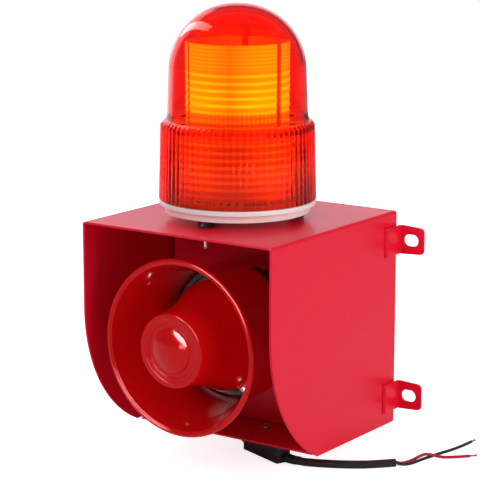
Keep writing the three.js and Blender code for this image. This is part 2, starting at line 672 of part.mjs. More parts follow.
function hornThroat() {
  const back = SPIDER_FRONT + GAP;
  const front = back + THROAT_LENGTH;
  const steps = [0.06, 0.35, 0.7, 1];
  const grow = THROAT_FRONT_RADIUS - THROAT_REAR_RADIUS;
  const outside = steps.map((share) =>
    [THROAT_REAR_RADIUS + grow * share ** 1.5, back + share * THROAT_LENGTH]);
  const inside = outside.slice(1).reverse().map(([radius, z]) => [radius - THROAT_WALL, z]);
  return turnedRing([
    [THROAT_REAR_RADIUS - THROAT_WALL, back],
    [THROAT_FLANGE_RADIUS, back],
    [THROAT_FLANGE_RADIUS, back + THROAT_FLANGE],
    [outside[0][0], back + THROAT_FLANGE],
    ...outside.slice(1, -1),
    [THROAT_FRONT_RADIUS, front],
    ...inside,
  ], 24);
}

function driverHousing() {
  const front = BELL_BACK_FACE - GAP;
  return turnedRing([
    [STUD_RADIUS + STUD_CLEARANCE, DRIVER_BACK],
    [DRIVER_RADIUS - 2, DRIVER_BACK],
    [DRIVER_RADIUS, DRIVER_BACK + 2],
    [DRIVER_RADIUS, front],
    [DRIVER_RADIUS - DRIVER_WALL, front],
    [DRIVER_RADIUS - DRIVER_WALL, DRIVER_BACK + DRIVER_WALL],
    [STUD_RADIUS + STUD_CLEARANCE, DRIVER_BACK + DRIVER_WALL],
  ]);
}

// The steel yoke: back disc, centre pole, and the stud that holds the horn to the partition.
function driverYoke() {
  const front = YOKE_BACK + YOKE_THICKNESS;
  return turned([
    [0, DRIVER_BACK - SHEET - GAP - STUD_REACH],
    [STUD_RADIUS, DRIVER_BACK - SHEET - GAP - STUD_REACH],
    [STUD_RADIUS, YOKE_BACK],
    [YOKE_RADIUS, YOKE_BACK],
    [YOKE_RADIUS, front],
    [POLE_RADIUS, front],
    [POLE_RADIUS, front + POLE_LENGTH],
    [0, front + POLE_LENGTH],
  ], 24);
}

const driverMagnet = () =>
  ring(MAGNET_INNER_RADIUS, MAGNET_RADIUS, MAGNET_BACK, MAGNET_BACK + MAGNET_THICKNESS, 24);

const driverFrontPlate = () =>
  ring(COIL_RADIUS + COIL_CLEARANCE, FRONT_PLATE_RADIUS, FRONT_PLATE_BACK, FRONT_PLATE_FACE, 24);

function voiceCoil() {
  const top = DIAPHRAGM_BACK - GAP;
  return ring(COIL_INNER_RADIUS, COIL_RADIUS, top - COIL_LENGTH, top, 20);
}

function diaphragm() {
  const back = DIAPHRAGM_BACK;
  const dome = [1, 0.7, 0.35, 0].map((share) =>
    [COIL_RADIUS * share, back + DIAPHRAGM_DOME_RISE * (1 - share ** 2)]);
  const flat = [COIL_RADIUS + 2, DIAPHRAGM_RADIUS - 6];
  const under = [
    [DIAPHRAGM_RADIUS, back],
    [DIAPHRAGM_RADIUS - 3, back + 0.8],
    [flat[1], back],
    [flat[0], back],
  ];
  const lift = ([radius, z]) => [radius, z + DIAPHRAGM_WALL];
  return turned([
    ...dome.map(lift).reverse(),
    ...under.map(lift).reverse(),
    ...under,
    ...dome,
  ], 20);
}

function hexagon(width) {
  return outline(arc([0, 0], width / Math.sqrt(3), 0, 300, 5));
}

function studNut() {
  const front = DRIVER_BACK - SHEET - 2 * GAP;
  const body = alongZ(hexagon(STUD_NUT_WIDTH), front - STUD_NUT_HEIGHT, front);
  return cut(body, [bar(STUD_RADIUS + GAP, front - STUD_NUT_HEIGHT - OVERRUN, front + OVERRUN, 16)]);
}

// ---------------------------------------------------------------- electronics behind the partition

const boardFront = PARTITION_SETBACK + SHEET + 2 * GAP + BOARD_STANDOFF;
const boardBack = boardFront + BOARD_SHEET;

function sirenBoard() {
  return block([-BOARD_WIDTH / 2, BOARD_WIDTH / 2], [boardFront, boardBack],
    [-HORN_DROP - BOARD_HEIGHT / 2, -HORN_DROP + BOARD_HEIGHT / 2]);
}

function boardStandoff(side) {
  const x = side * (BOARD_WIDTH / 2 - 2 * STANDOFF_RADIUS);
  return bar(STANDOFF_RADIUS, 0, BOARD_STANDOFF, 12)
    .rotateX(-Math.PI / 2).translate(x, PARTITION_SETBACK + SHEET + GAP, -HORN_DROP);
}

function boardTransformer() {
  const [width, depth, height] = TRANSFORMER_SIZE;
  return block([-BOARD_WIDTH / 4 - width / 2, -BOARD_WIDTH / 4 + width / 2],
    [boardBack + GAP, boardBack + GAP + depth], [-HORN_DROP - height / 2, -HORN_DROP + height / 2]);
}

function boardCapacitor() {
  return bar(CAPACITOR_RADIUS, 0, CAPACITOR_LENGTH, 16)
    .rotateX(-Math.PI / 2).translate(BOARD_WIDTH / 4, boardBack + GAP, -HORN_DROP);
}

// ---------------------------------------------------------------- beacon
// Its own frame: z = 0 is the roof, and Z is the beacon's axis.

function beaconBase() {
  const spigotTop = BASE_TOP + BASE_SPIGOT_HEIGHT;
  const spigotInner = BASE_SPIGOT_RADIUS - BASE_SPIGOT_WALL;
  const body = turnedRing([
    [BASE_HOLE_RADIUS, BASE_LIFT],
    [BASE_LOWER_RADIUS, BASE_LIFT],
    [BASE_LOWER_RADIUS, BASE_STEP],
    [BASE_UPPER_RADIUS, BASE_STEP],
    [BASE_UPPER_RADIUS, BASE_TOP],
    [BASE_SPIGOT_RADIUS, BASE_TOP],
    [BASE_SPIGOT_RADIUS, spigotTop],
    [spigotInner, spigotTop],
    [BASE_LOWER_RADIUS - 3, BASE_FLOOR_TOP],
    [BASE_HOLE_RADIUS, BASE_FLOOR_TOP],
  ]);
  return cut(body, thirds(FOOT_ANGLE).map((angle) =>
    bar(BASE_SCREW_RADIUS + SCREW_CLEARANCE, BASE_LIFT - OVERRUN, BASE_FLOOR_TOP + OVERRUN, 12,
      polar(FOOT_CIRCLE, angle))));
}

const baseFoot = () => ring(BASE_SCREW_RADIUS + GAP, FOOT_RADIUS, GAP, BASE_LIFT - GAP, 16);

// The screw through one foot, with the nut that draws it up under the roof.
function baseScrew() {
  const head = BASE_FLOOR_TOP + GAP;
  const body = screw(BASE_SCREW_RADIUS, head + BASE_SCREW_REACH, 3.4, 2.2).translate(0, 0, head);
  const nut = alongZ(hexagon(7), -SHEET - GAP - 3, -SHEET - GAP);
  return join(body, nut);
}

// Outer outline of the lens from its foot to its crown.
function lensOutline() {
  const foot = LENS_BOTTOM;
  const rise = DOME_HEIGHT - DOME_SHOULDER_HEIGHT;
  const crown = [18, 36, 52, 66, 79, 90].map((lift) => [
    lift < 90 ? DOME_SHOULDER_RADIUS * Math.cos(radians(lift)) ** CROWN_FULLNESS : 0,
    foot + DOME_SHOULDER_HEIGHT + rise * Math.sin(radians(lift)),
  ]);
  return [
    [COLLAR_BOTTOM_RADIUS, foot],
    [COLLAR_TOP_RADIUS, foot + COLLAR_HEIGHT - 2],
    [COLLAR_TOP_RADIUS - 1.6, foot + COLLAR_HEIGHT],
    [DOME_FOOT_RADIUS + 0.8, foot + COLLAR_HEIGHT + 1],
    [DOME_FOOT_RADIUS, foot + DOME_FOOT_HEIGHT],
    [DOME_SHOULDER_RADIUS, foot + DOME_SHOULDER_HEIGHT],
    ...crown,
  ];
}

function beaconLens() {
  const outer = lensOutline();
  const shoulder = LENS_BOTTOM + DOME_SHOULDER_HEIGHT;
  const shrink = (DOME_SHOULDER_RADIUS - LENS_WALL) / DOME_SHOULDER_RADIUS;
  const inner = outer.map(([radius, z]) => {
    const rounding = (z - shoulder) / (DOME_HEIGHT - DOME_SHOULDER_HEIGHT);
    return z <= shoulder ? [radius - LENS_WALL, z] : [radius * shrink, z - LENS_WALL * rounding];
  });
  return turned([...outer, ...inner.reverse(), outer[0]], 36);
}

const beaconChassis = () =>
  ring(BASE_HOLE_RADIUS, CHASSIS_RADIUS, BASE_FLOOR_TOP + GAP, CHASSIS_TOP, 24);

// The fixed hollow axle that the rotor turns on. Its collar carries the rotor.
function axleTube() {
  const bottom = CHASSIS_TOP + GAP;
  const collarTop = HUB_BOTTOM - GAP;
  return turnedRing([
    [AXLE_BORE_RADIUS, bottom],
    [AXLE_COLLAR_RADIUS, bottom],
    [AXLE_COLLAR_RADIUS, bottom + 2],
    [AXLE_RADIUS, bottom + 3],
    [AXLE_RADIUS, collarTop - 3],
    [AXLE_COLLAR_RADIUS, collarTop - 2],
    [AXLE_COLLAR_RADIUS, collarTop],
    [AXLE_RADIUS, collarTop],
    [AXLE_RADIUS, AXLE_TOP],
    [AXLE_BORE_RADIUS, AXLE_TOP],
  ], 16);
}

// A spur gear's outline. Its teeth are slimmer than their gaps, for backlash.
function gearOutline(teeth, start) {
  const pitch = GEAR_MODULE * teeth / 2;
  const step = 360 / teeth;
  const points = [];
  for (let i = 0; i < teeth; i += 1) {
    const middle = start + i * step;
    const flank = [
      [pitch - TOOTH_ROOT, -0.34],
      [pitch + TOOTH_TIP, -0.12],
      [pitch + TOOTH_TIP, 0.12],
      [pitch - TOOTH_ROOT, 0.34],
    ];
    flank.forEach(([radius, share]) => points.push(polar(radius, middle + share * step)));
  }
  return outline(points);
}

function rotor() {
  const bore = AXLE_RADIUS + ROTOR_CLEARANCE;
  const discRadius = PANEL_RADIUS_LOWER - PANEL_WALL - GAP;
  const hub = turnedRing([
    [bore, HUB_BOTTOM],
    [ROTOR_HUB_RADIUS, HUB_BOTTOM],
    [ROTOR_HUB_RADIUS, DISC_BOTTOM],
    [discRadius, DISC_BOTTOM],
    [discRadius, DISC_TOP],
    [bore, DISC_TOP],
  ]);
  const rim = alongZ(gearOutline(GEAR_TEETH, 0), GEAR_BOTTOM, GEAR_BOTTOM + GEAR_THICKNESS);
  const middle = bar(ROTOR_HUB_RADIUS - 1, GEAR_BOTTOM - OVERRUN, GEAR_BOTTOM + GEAR_THICKNESS + OVERRUN, 24);
  return join(hub, cut(rim, [middle]));
}

// One of the three ribbed panels of the turning lens drum: wide below the disc, narrow above it.
function lensPanel() {
  const ledge = DISC_TOP + GAP;
  const wide = PANEL_RADIUS_LOWER;
  const slim = PANEL_RADIUS_UPPER;
  const drum = turnedRing([
    [wide, DISC_BOTTOM - PANEL_DROP],
    [wide, ledge + PANEL_WALL],
    [slim, ledge + PANEL_WALL],
    [slim, PANEL_TOP],
    [slim - PANEL_WALL, PANEL_TOP],
    [slim - PANEL_WALL, ledge],
    [wide - PANEL_WALL, ledge],
    [wide - PANEL_WALL, DISC_BOTTOM - PANEL_DROP],
  ], 48);
  const far = wide * 3;
  const half = PANEL_SWEEP / 2;
  const wedge = outline([
    [0, 0],
    polar(far, -half),
    polar(far, 0),
    polar(far, half),
  ]);
  return common(drum, alongZ(wedge, 0, PANEL_TOP + OVERRUN));
}

// The lamp post: a six-sided post with rows of LEDs on its faces.
function lampPost() {
  const bottom = AXLE_TOP + GAP;
  const post = alongZ(hexagon(LAMP_POST_RADIUS * 2), bottom, bottom + LAMP_POST_HEIGHT);
  const pitch = LAMP_POST_HEIGHT / LED_ROWS;
  const lamps = [];
  for (let row = 0; row < LED_ROWS; row += 1) {
    for (let face = 0; face < 3; face += 1) {
      const z = bottom + pitch * (row + 0.5);
      lamps.push(block([LAMP_POST_RADIUS - 1, LAMP_POST_RADIUS + LED_PROUD],
        [-LED_SIZE / 2, LED_SIZE / 2], [z - LED_SIZE / 2, z + LED_SIZE / 2])
        .rotateZ(radians(30 + face * 120)));
    }
  }
  return join(post, ...lamps);
}

function driveMotor() {
  const bottom = CHASSIS_TOP + GAP;
  return turned([
    [0, bottom],
    [MOTOR_RADIUS, bottom],
    [MOTOR_RADIUS, MOTOR_TOP],
    [MOTOR_SHAFT_RADIUS, MOTOR_TOP],
    [MOTOR_SHAFT_RADIUS, GEAR_BOTTOM + GEAR_THICKNESS + 1],
    [0, GEAR_BOTTOM + GEAR_THICKNESS + 1],
  ], 20);
}

// The pinion on the motor. A gap between its teeth faces the gear's tooth on the line of centres.
function drivePinion() {
  const halfTooth = 180 / PINION_TEETH;
  const body = alongZ(gearOutline(PINION_TEETH, 180 + halfTooth), GEAR_BOTTOM, GEAR_BOTTOM + GEAR_THICKNESS);
  return cut(body, [bar(MOTOR_SHAFT_RADIUS + ROTOR_CLEARANCE, GEAR_BOTTOM - OVERRUN,
    GEAR_BOTTOM + GEAR_THICKNESS + OVERRUN, 12)]);
}

// ---------------------------------------------------------------- module under the floor
// Its own frame: z = 0 is its top face, and X is its long axis.

function moduleCase() {
  const [half, deep] = [MODULE_LENGTH / 2, MODULE_DEPTH / 2];
  const shell = block([-half, half], [-deep, deep], [-MODULE_HEIGHT, -MODULE_LID - GAP]);
  const hollow = block([-half + MODULE_WALL, half - MODULE_WALL], [-deep + MODULE_WALL, deep - MODULE_WALL],
    [-MODULE_HEIGHT + MODULE_WALL, OVERRUN]);
  const boss = bar(MODULE_BOSS_RADIUS, -MODULE_HEIGHT + MODULE_WALL / 2, -MODULE_LID - GAP, 14);
  const bore = bar(MODULE_SCREW_RADIUS + GAP, -MODULE_SCREW_LENGTH - 1, OVERRUN, 10);
  return cut(join(cut(shell, [hollow]), boss), [bore]);
}

function moduleLid() {
  const [half, deep] = [MODULE_LENGTH / 2, MODULE_DEPTH / 2];
  return cut(block([-half, half], [-deep, deep], [-MODULE_LID, 0]), [
    bar(MODULE_SCREW_RADIUS + GAP, -MODULE_LID - OVERRUN, OVERRUN, 10),
  ]);
}

function moduleNut() {
  const start = -MODULE_LENGTH / 2 - GAP;
  return alongX(outline(arc([0, -NUT_DROP], NUT_RADIUS, 0, 330, 11)), start - NUT_LENGTH, start);
}

// ---------------------------------------------------------------- cords

// The lead from the module's nut, up through the grommet into the hood.
function moduleLead() {
  const [mx, my] = MODULE_PLACE;
  const [gx, gy] = GROMMET_PLACE;
  const reach = MODULE_LENGTH / 2 + NUT_LENGTH + 2 * GAP;
  const turn = radians(MODULE_TURN);
  const along = (distance) => [mx - distance * Math.cos(turn), my - distance * Math.sin(turn)];
  const low = -HOOD_HEIGHT - NUT_DROP;
  return tube([
    [...along(reach), low],
    [...along(reach + 6), low + 0.8],
    [(along(reach + 6)[0] + gx) / 2 - 2, (along(reach + 6)[1] + gy) / 2 + 1, low + 3],
    [gx, gy, -HOOD_HEIGHT - 3.5],
    [gx, gy, -HOOD_HEIGHT],
    [gx, gy, -HOOD_HEIGHT + 4],
    [gx, gy, -HOOD_HEIGHT + 10],
  ], LEAD_RADIUS, 12, 8);
}

function floorGrommet() {
  const bottom = -HOOD_HEIGHT;
  return turnedRing([
    [LEAD_RADIUS + LEAD_CLEARANCE, bottom - GROMMET_LIP - GAP],
    [GROMMET_RADIUS, bottom - GROMMET_LIP - GAP],
    [GROMMET_RADIUS, bottom - GAP],
    [GROMMET_NECK, bottom - GAP],
    [GROMMET_NECK, bottom + SHEET + GAP],
    [GROMMET_RADIUS, bottom + SHEET + GAP],
    [GROMMET_RADIUS, bottom + SHEET + GAP + GROMMET_LIP],
    [LEAD_RADIUS + LEAD_CLEARANCE, bottom + SHEET + GAP + GROMMET_LIP],
  ], 16);
}

// Routes in the whole part's frame. The heights are above the surface that the cable lies on.
const lying = (points) => points.map(([x, y, lift]) => [x, y, BENCH + lift]);

const RELIEF_ROUTE = lying([
  [35.1, -75.9, 3.7],
  [38.2, -76.6, 3.7],
  [41.6, -76.5, 3.5],
  [45.0, -75.7, 3.4],
]);

const CABLE_ROUTE = lying([
  [45.4, -75.6, 3.2],
  [49.0, -74.4, 2.9],
  [54.0, -72.4, 2.8],
  [60.0, -69.8, 2.8],
  [66.5, -66.8, 2.8],
  [73.0, -63.2, 2.8],
  [79.0, -59.3, 2.8],
  [84.5, -55.0, 2.8],
  [89.5, -50.2, 2.8],
  [94.0, -45.4, 2.8],
  [97.6, -41.0, 2.8],
]);

const RED_ROUTE = lying([
  [97.4, -39.6, 2.6],
  [99.2, -36.6, 1.6],
  [100.6, -31.0, 1.1],
  [101.6, -25.0, 1.1],
  [103.4, -19.6, 2.4],
  [106.4, -15.2, 3.4],
  [110.6, -11.4, 2.2],
  [115.4, -8.0, 1.1],
  [120.4, -4.2, 1.1],
  [125.0, 0.2, 1.1],
  [128.6, 4.4, 1.1],
]);

const BLACK_ROUTE = lying([
  [99.8, -41.4, 2.6],
  [102.4, -37.6, 1.6],
  [104.4, -32.0, 1.1],
  [105.4, -26.0, 1.1],
  [106.2, -20.0, 1.1],
  [107.2, -14.0, 1.1],
  [108.4, -7.0, 1.1],
  [110.0, 0.0, 1.1],
  [111.8, 8.0, 1.1],
  [113.2, 17.0, 1.1],
  [114.0, 26.0, 1.1],
  [114.2, 33.0, 1.1],
]);

// A bare copper end that carries on where a wire's route stops.
function strandRoute(route) {
  const end = new THREE.Vector3(...route.at(-1));
  const heading = end.clone().sub(new THREE.Vector3(...route.at(-2))).normalize();
  const at = (distance) => end.clone().addScaledVector(heading, distance).toArray();
  return [at(GAP), at(GAP + STRAND_LENGTH)];
}

// ---------------------------------------------------------------- assembly

function piece(parent, name, geometry, material, position = [0, 0, 0], turn = 0) {
  const mesh = new THREE.Mesh(closed(geometry), material);
  mesh.name = name;
  mesh.position.set(...position);
  mesh.rotation.z = turn;
  parent.add(mesh);
}

const siren = new THREE.Group();
siren.name = 'alarm_siren';

// The hood's frame: y runs back from its front edge and z down from its roof.
const hood = new THREE.Group();
hood.position.set(0, HOOD_FRONT, HOOD_TOP);
siren.add(hood);
piece(hood, 'hood_shell', hoodShell(), RED_PAINT);
piece(hood, 'floor_plate', floorPlate(), RED_PAINT);
piece(hood, 'partition_plate', partitionPlate(), RED_PAINT);
piece(hood, 'rear_cover', rearCover(), RED_PAINT);
coverScrewPlaces().forEach(([x, z], i) => {
  const body = screw(COVER_SCREW_RADIUS, COVER_SCREW_LENGTH, 3.5, 2).rotateX(-Math.PI / 2);
  piece(hood, `cover_screw_${i + 1}`, body, STEEL, [x, HOOD_DEPTH + GAP, z]);
});
for (const [side, hand] of [[-1, 'left'], [1, 'right']]) {
  for (const [level, drop] of Object.entries(earDrops)) {
    piece(hood, `wall_ear_${level}_${hand}`, ear(side), RED_PAINT, [0, 0, -drop]);
  }
}
piece(hood, 'siren_board', sirenBoard(), GREEN_BOARD);
piece(hood, 'board_standoff_left', boardStandoff(-1), STEEL);
piece(hood, 'board_standoff_right', boardStandoff(1), STEEL);
piece(hood, 'board_transformer', boardTransformer(), FERRITE);
piece(hood, 'board_capacitor', boardCapacitor(), BLACK_PLASTIC);

const horn = new THREE.Group();
horn.position.set(0, HORN_RIM_SETBACK, -HORN_DROP);
horn.rotation.x = Math.PI / 2;
hood.add(horn);
piece(horn, 'horn_bell', hornBell(), RED_PLASTIC);
piece(horn, 'horn_reflector', hornReflector(), RED_PLASTIC);
piece(horn, 'horn_spider', hornSpider(), BLACK_PLASTIC);
piece(horn, 'horn_throat', hornThroat(), BLACK_PLASTIC);
thirds(LUG_ANGLE).forEach((angle, i) => {
  const body = screw(LUG_SCREW_RADIUS, 9, 2.8, 1.8);
  piece(horn, `reflector_screw_${i + 1}`, body, STEEL, [...lugSpot(angle), LUG_FRONT + GAP]);
});
piece(horn, 'driver_housing', driverHousing(), BLACK_PLASTIC);
piece(horn, 'driver_yoke', driverYoke(), STEEL);
piece(horn, 'driver_magnet', driverMagnet(), FERRITE);
piece(horn, 'driver_front_plate', driverFrontPlate(), STEEL);
piece(horn, 'voice_coil', voiceCoil(), COPPER);
piece(horn, 'diaphragm', diaphragm(), WHITE_PLASTIC);
piece(horn, 'driver_stud_nut', studNut(), STEEL);

const beacon = new THREE.Group();
beacon.position.set(0, BEACON_SETBACK, 0);
hood.add(beacon);
piece(beacon, 'beacon_base', beaconBase(), WHITE_PLASTIC);
thirds(FOOT_ANGLE).forEach((angle, i) => {
  const place = [...polar(FOOT_CIRCLE, angle), 0];
  piece(beacon, `base_foot_${i + 1}`, baseFoot(), BLACK_RUBBER, place);
  piece(beacon, `base_screw_${i + 1}`, baseScrew(), STEEL, place);
});
piece(beacon, 'beacon_lens', beaconLens(), RED_LENS);
piece(beacon, 'beacon_chassis', beaconChassis(), WHITE_PLASTIC);
piece(beacon, 'rotor_axle', axleTube(), STEEL);
piece(beacon, 'rotor', rotor(), WHITE_PLASTIC);
for (let i = 0; i < PANEL_COUNT; i += 1) {
  const turn = radians(PANEL_ANGLE + i * 360 / PANEL_COUNT);
  piece(beacon, `lens_panel_${i + 1}`, lensPanel(), AMBER_LENS, [0, 0, 0], turn);
}
piece(beacon, 'lamp_post', lampPost(), STEEL);
piece(beacon, 'drive_motor', driveMotor(), STEEL, [MOTOR_OFFSET, 0, 0]);
piece(beacon, 'drive_pinion', drivePinion(), WHITE_PLASTIC, [MOTOR_OFFSET, 0, 0]);

piece(hood, 'floor_grommet', floorGrommet(), BLACK_RUBBER, [...GROMMET_PLACE, 0]);
piece(hood, 'module_lead', moduleLead(), BLACK_RUBBER);

const module = new THREE.Group();
module.position.set(...MODULE_PLACE, -HOOD_HEIGHT - GAP);
module.rotation.z = radians(MODULE_TURN);
hood.add(module);
piece(module, 'module_case', moduleCase(), BLACK_PLASTIC);
piece(module, 'module_lid', moduleLid(), BLACK_PLASTIC);
piece(module, 'module_nut', moduleNut(), WHITE_PLASTIC);
piece(module, 'module_screw', screw(MODULE_SCREW_RADIUS, MODULE_SCREW_LENGTH, 3, 2), STEEL,
  [0, 0, SHEET + 2 * GAP]);

piece(siren, 'strain_relief', tube(RELIEF_ROUTE, RELIEF_RADIUS, 5, 10), BLACK_RUBBER);
piece(siren, 'cable_sheath', tube(CABLE_ROUTE, CABLE_RADIUS, 12, 10), BLACK_RUBBER);
piece(siren, 'red_wire', tube(RED_ROUTE, WIRE_RADIUS, 14, 8), RED_PVC);
piece(siren, 'black_wire', tube(BLACK_ROUTE, WIRE_RADIUS, 16, 8), BLACK_RUBBER);
piece(siren, 'red_wire_end', tube(strandRoute(RED_ROUTE), STRAND_RADIUS, 2, 8), COPPER);
piece(siren, 'black_wire_end', tube(strandRoute(BLACK_ROUTE), STRAND_RADIUS, 2, 8), COPPER);

export default siren;
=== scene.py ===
# %% [markdown]
# # An alarm siren, built around its working frame
# The object is a folded steel hood with a horn speaker inside it and a rotating beacon on its roof.
# The engineering model already holds every part at its real size. This notebook gives the parts the
# surfaces that a person sees: folded sheet with soft edges, moulded plastic, clear red plastic with
# flutes, and flexible cable. Lengths here are in millimetres until the last step of each builder.

# %% Load the frame
import json
import math

import bmesh
import bpy
from mathutils import Matrix, Vector

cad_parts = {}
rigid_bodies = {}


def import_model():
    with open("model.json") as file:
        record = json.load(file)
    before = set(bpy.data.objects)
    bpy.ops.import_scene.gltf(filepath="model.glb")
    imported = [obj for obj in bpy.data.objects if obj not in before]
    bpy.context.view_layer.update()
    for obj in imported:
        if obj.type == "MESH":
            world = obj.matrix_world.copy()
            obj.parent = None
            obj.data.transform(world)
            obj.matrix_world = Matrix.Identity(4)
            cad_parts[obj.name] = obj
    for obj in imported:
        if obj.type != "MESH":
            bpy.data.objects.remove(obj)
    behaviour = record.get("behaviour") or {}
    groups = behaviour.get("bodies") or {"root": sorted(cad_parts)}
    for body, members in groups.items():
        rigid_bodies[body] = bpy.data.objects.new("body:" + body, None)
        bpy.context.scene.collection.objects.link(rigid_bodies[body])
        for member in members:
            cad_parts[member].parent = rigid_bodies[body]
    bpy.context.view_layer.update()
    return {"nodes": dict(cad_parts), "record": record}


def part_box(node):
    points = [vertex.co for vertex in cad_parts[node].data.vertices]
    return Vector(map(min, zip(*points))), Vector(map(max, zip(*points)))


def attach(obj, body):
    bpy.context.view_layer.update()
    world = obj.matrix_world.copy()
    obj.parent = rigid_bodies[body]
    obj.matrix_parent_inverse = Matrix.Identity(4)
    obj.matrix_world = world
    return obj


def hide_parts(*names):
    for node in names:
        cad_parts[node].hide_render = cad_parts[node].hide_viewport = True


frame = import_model()
MM = 0.001


# %% Measure the frame
def box_mm(node):
    low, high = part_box(node)
    return low / MM, high / MM


hood_low, hood_high = box_mm("hood_shell")
HOOD_WIDTH = hood_high.x - hood_low.x
HOOD_DEPTH = hood_high.y - hood_low.y
HOOD_HEIGHT = hood_high.z - hood_low.z
ROOF = hood_high.z
FRONT = hood_low.y
BENCH = box_mm("module_case")[0].z
lens_low, lens_high = box_mm("beacon_lens")
BEACON_Y = (lens_low.y + lens_high.y) / 2
bell_low, bell_high = box_mm("horn_bell")
HORN_Z = (bell_low.z + bell_high.z) / 2
BEAD = 1.7
RIM_Y = bell_low.y + BEAD
print(f"hood {HOOD_WIDTH:.1f} x {HOOD_DEPTH:.1f} x {HOOD_HEIGHT:.1f} mm, bench at {BENCH:.1f}")

# %% [markdown]
# ## The camera, the floor and the light
# A siren like this is best seen through a long lens from a little above, so its upright edges stay
# upright. The floor is a plain pale sheet, with a glow that only the camera and the clear plastic
# see. An overhead box, a right-hand box and a front fill light the paint and leave no reflection.
# Two strips at the left are mirrored in the dome. Two cards in front show only as highlights on
# the horn and what stands near it. The room is dim, with one white wall behind the siren.

# %% Camera
camera_data = bpy.data.cameras.new("long_lens")
camera_data.sensor_width = 36
camera_data.lens = 148.56
camera = bpy.data.objects.new("camera", camera_data)
camera.location = (0.7333, -1.1248, 0.3236)
camera.rotation_euler = (math.radians(90 - 11.73), 0, math.radians(35.08))
bpy.context.scene.collection.objects.link(camera)
bpy.context.scene.camera = camera
bpy.context.scene.view_settings.view_transform = "Standard"
print("camera", [round(v, 3) for v in camera.location])


# %% Floor
def link(name, mesh):
    obj = bpy.data.objects.new(name, mesh)
    bpy.context.scene.collection.objects.link(obj)
    return obj


FLOOR_HALF = 6.0
floor_mesh = bpy.data.meshes.new("floor")
corners = [(-1, -1), (1, -1), (1, 1), (-1, 1)]
floor_mesh.from_pydata([(x * FLOOR_HALF, y * FLOOR_HALF, BENCH * MM) for x, y in corners], [],
                       [(0, 1, 2, 3)])
floor = link("floor", floor_mesh)
floor_paint = bpy.data.materials.new("pale_floor")
floor_paint.use_nodes = True
floor_shader = floor_paint.node_tree.nodes["Principled BSDF"]
floor_shader.inputs["Base Color"].default_value = (0.86, 0.86, 0.87, 1)
floor_shader.inputs["Roughness"].default_value = 0.9
floor_shader.inputs["Specular IOR Level"].default_value = 0.1
floor_path = floor_paint.node_tree.nodes.new("ShaderNodeLightPath")
floor_glow = floor_paint.node_tree.nodes.new("ShaderNodeMath")
floor_glow.operation = "ADD"
floor_glow.use_clamp = True
for socket, label in enumerate(("Is Camera Ray", "Is Transmission Ray")):
    floor_paint.node_tree.links.new(floor_path.outputs[label], floor_glow.inputs[socket])
floor_paint.node_tree.links.new(floor_glow.outputs[0], floor_shader.inputs["Emission Strength"])
floor_shader.inputs["Emission Color"].default_value = (0.8, 0.8, 0.8, 1)
floor_mesh.materials.append(floor_paint)
print("floor at", round(BENCH, 1), "mm")


# %% Light
LENS_AXIS = Vector((-0.57, 0.82, 0)).normalized()     # the way that the camera looks, level


def soft_box(name, place, target, size, power, glossy=True, roll=0):
    data = bpy.data.lights.new(name, "AREA")
    data.shape = "RECTANGLE"
    data.size, data.size_y = size
    data.energy = power
    lamp = bpy.data.objects.new(name, data)
    aim = (Vector(target) - Vector(place)).to_track_quat("-Z", "Y").to_matrix().to_4x4()
    lamp.matrix_world = (Matrix.Translation(place) @ aim
                         @ Matrix.Rotation(math.radians(roll), 4, "Z"))
    lamp.visible_glossy = glossy
    bpy.context.scene.collection.objects.link(lamp)
    return lamp


soft_box("overhead", (0.3, -0.2, 1.6), (0, -0.08, 0), (1.4, 1.4), 6, glossy=False)
soft_box("right_side", (1.7, -0.1, 0.5), (0.05, -0.08, 0), (1.0, 1.2), 15.5, glossy=False)
soft_box("front_fill", (-0.1, -1.7, 1.0), (0, -0.08, 0), (0.8, 0.8), 8, glossy=False)
soft_box("crown_strip", (-1.2, 0.11, 1.08), (-0.01, -0.11, 0.2), (0.26, 1.7), 6.5, roll=-38)
soft_box("left_strip", (-1.3, 0.5, 0.3), (0, -0.08, 0.1), (0.85, 1.5), 3.4)
horn_cards = [soft_box("dome_card", (-0.05, -1.6, -0.12), (0, -0.15, 0), (0.3, 0.4), 5),
              soft_box("rim_card", (-0.19, -1.5, 0.5), (0, -0.15, 0), (0.45, 1.2), 95, roll=56)]
horn_only = bpy.data.collections.new("lit_by_the_horn_cards")
for card in horn_cards:
    card.visible_diffuse = False
    card.light_linking.receiver_collection = horn_only

# %% Surround: a white wall behind the siren in an otherwise dim room
world = bpy.data.worlds.new("studio")
world.use_nodes = True
bpy.context.scene.world = world
world_tree = world.node_tree
ray = world_tree.nodes.new("ShaderNodeTexCoord")
facing = world_tree.nodes.new("ShaderNodeVectorMath")
facing.operation = "DOT_PRODUCT"
facing.inputs[1].default_value = LENS_AXIS
world_tree.links.new(ray.outputs["Generated"], facing.inputs[0])
wall = world_tree.nodes.new("ShaderNodeMapRange")
wall.interpolation_type = "SMOOTHSTEP"
for socket, value in {"From Min": 0.86, "From Max": 0.96, "To Min": 0.22, "To Max": 1.1}.items():
    wall.inputs[socket].default_value = value
world_tree.links.new(facing.outputs["Value"], wall.inputs["Value"])
world_tree.links.new(wall.outputs["Result"], world_tree.nodes["Background"].inputs["Strength"])
world_tree.nodes["Background"].inputs["Color"].default_value = (0.97, 0.91, 1.0, 1)
print("surround ready")
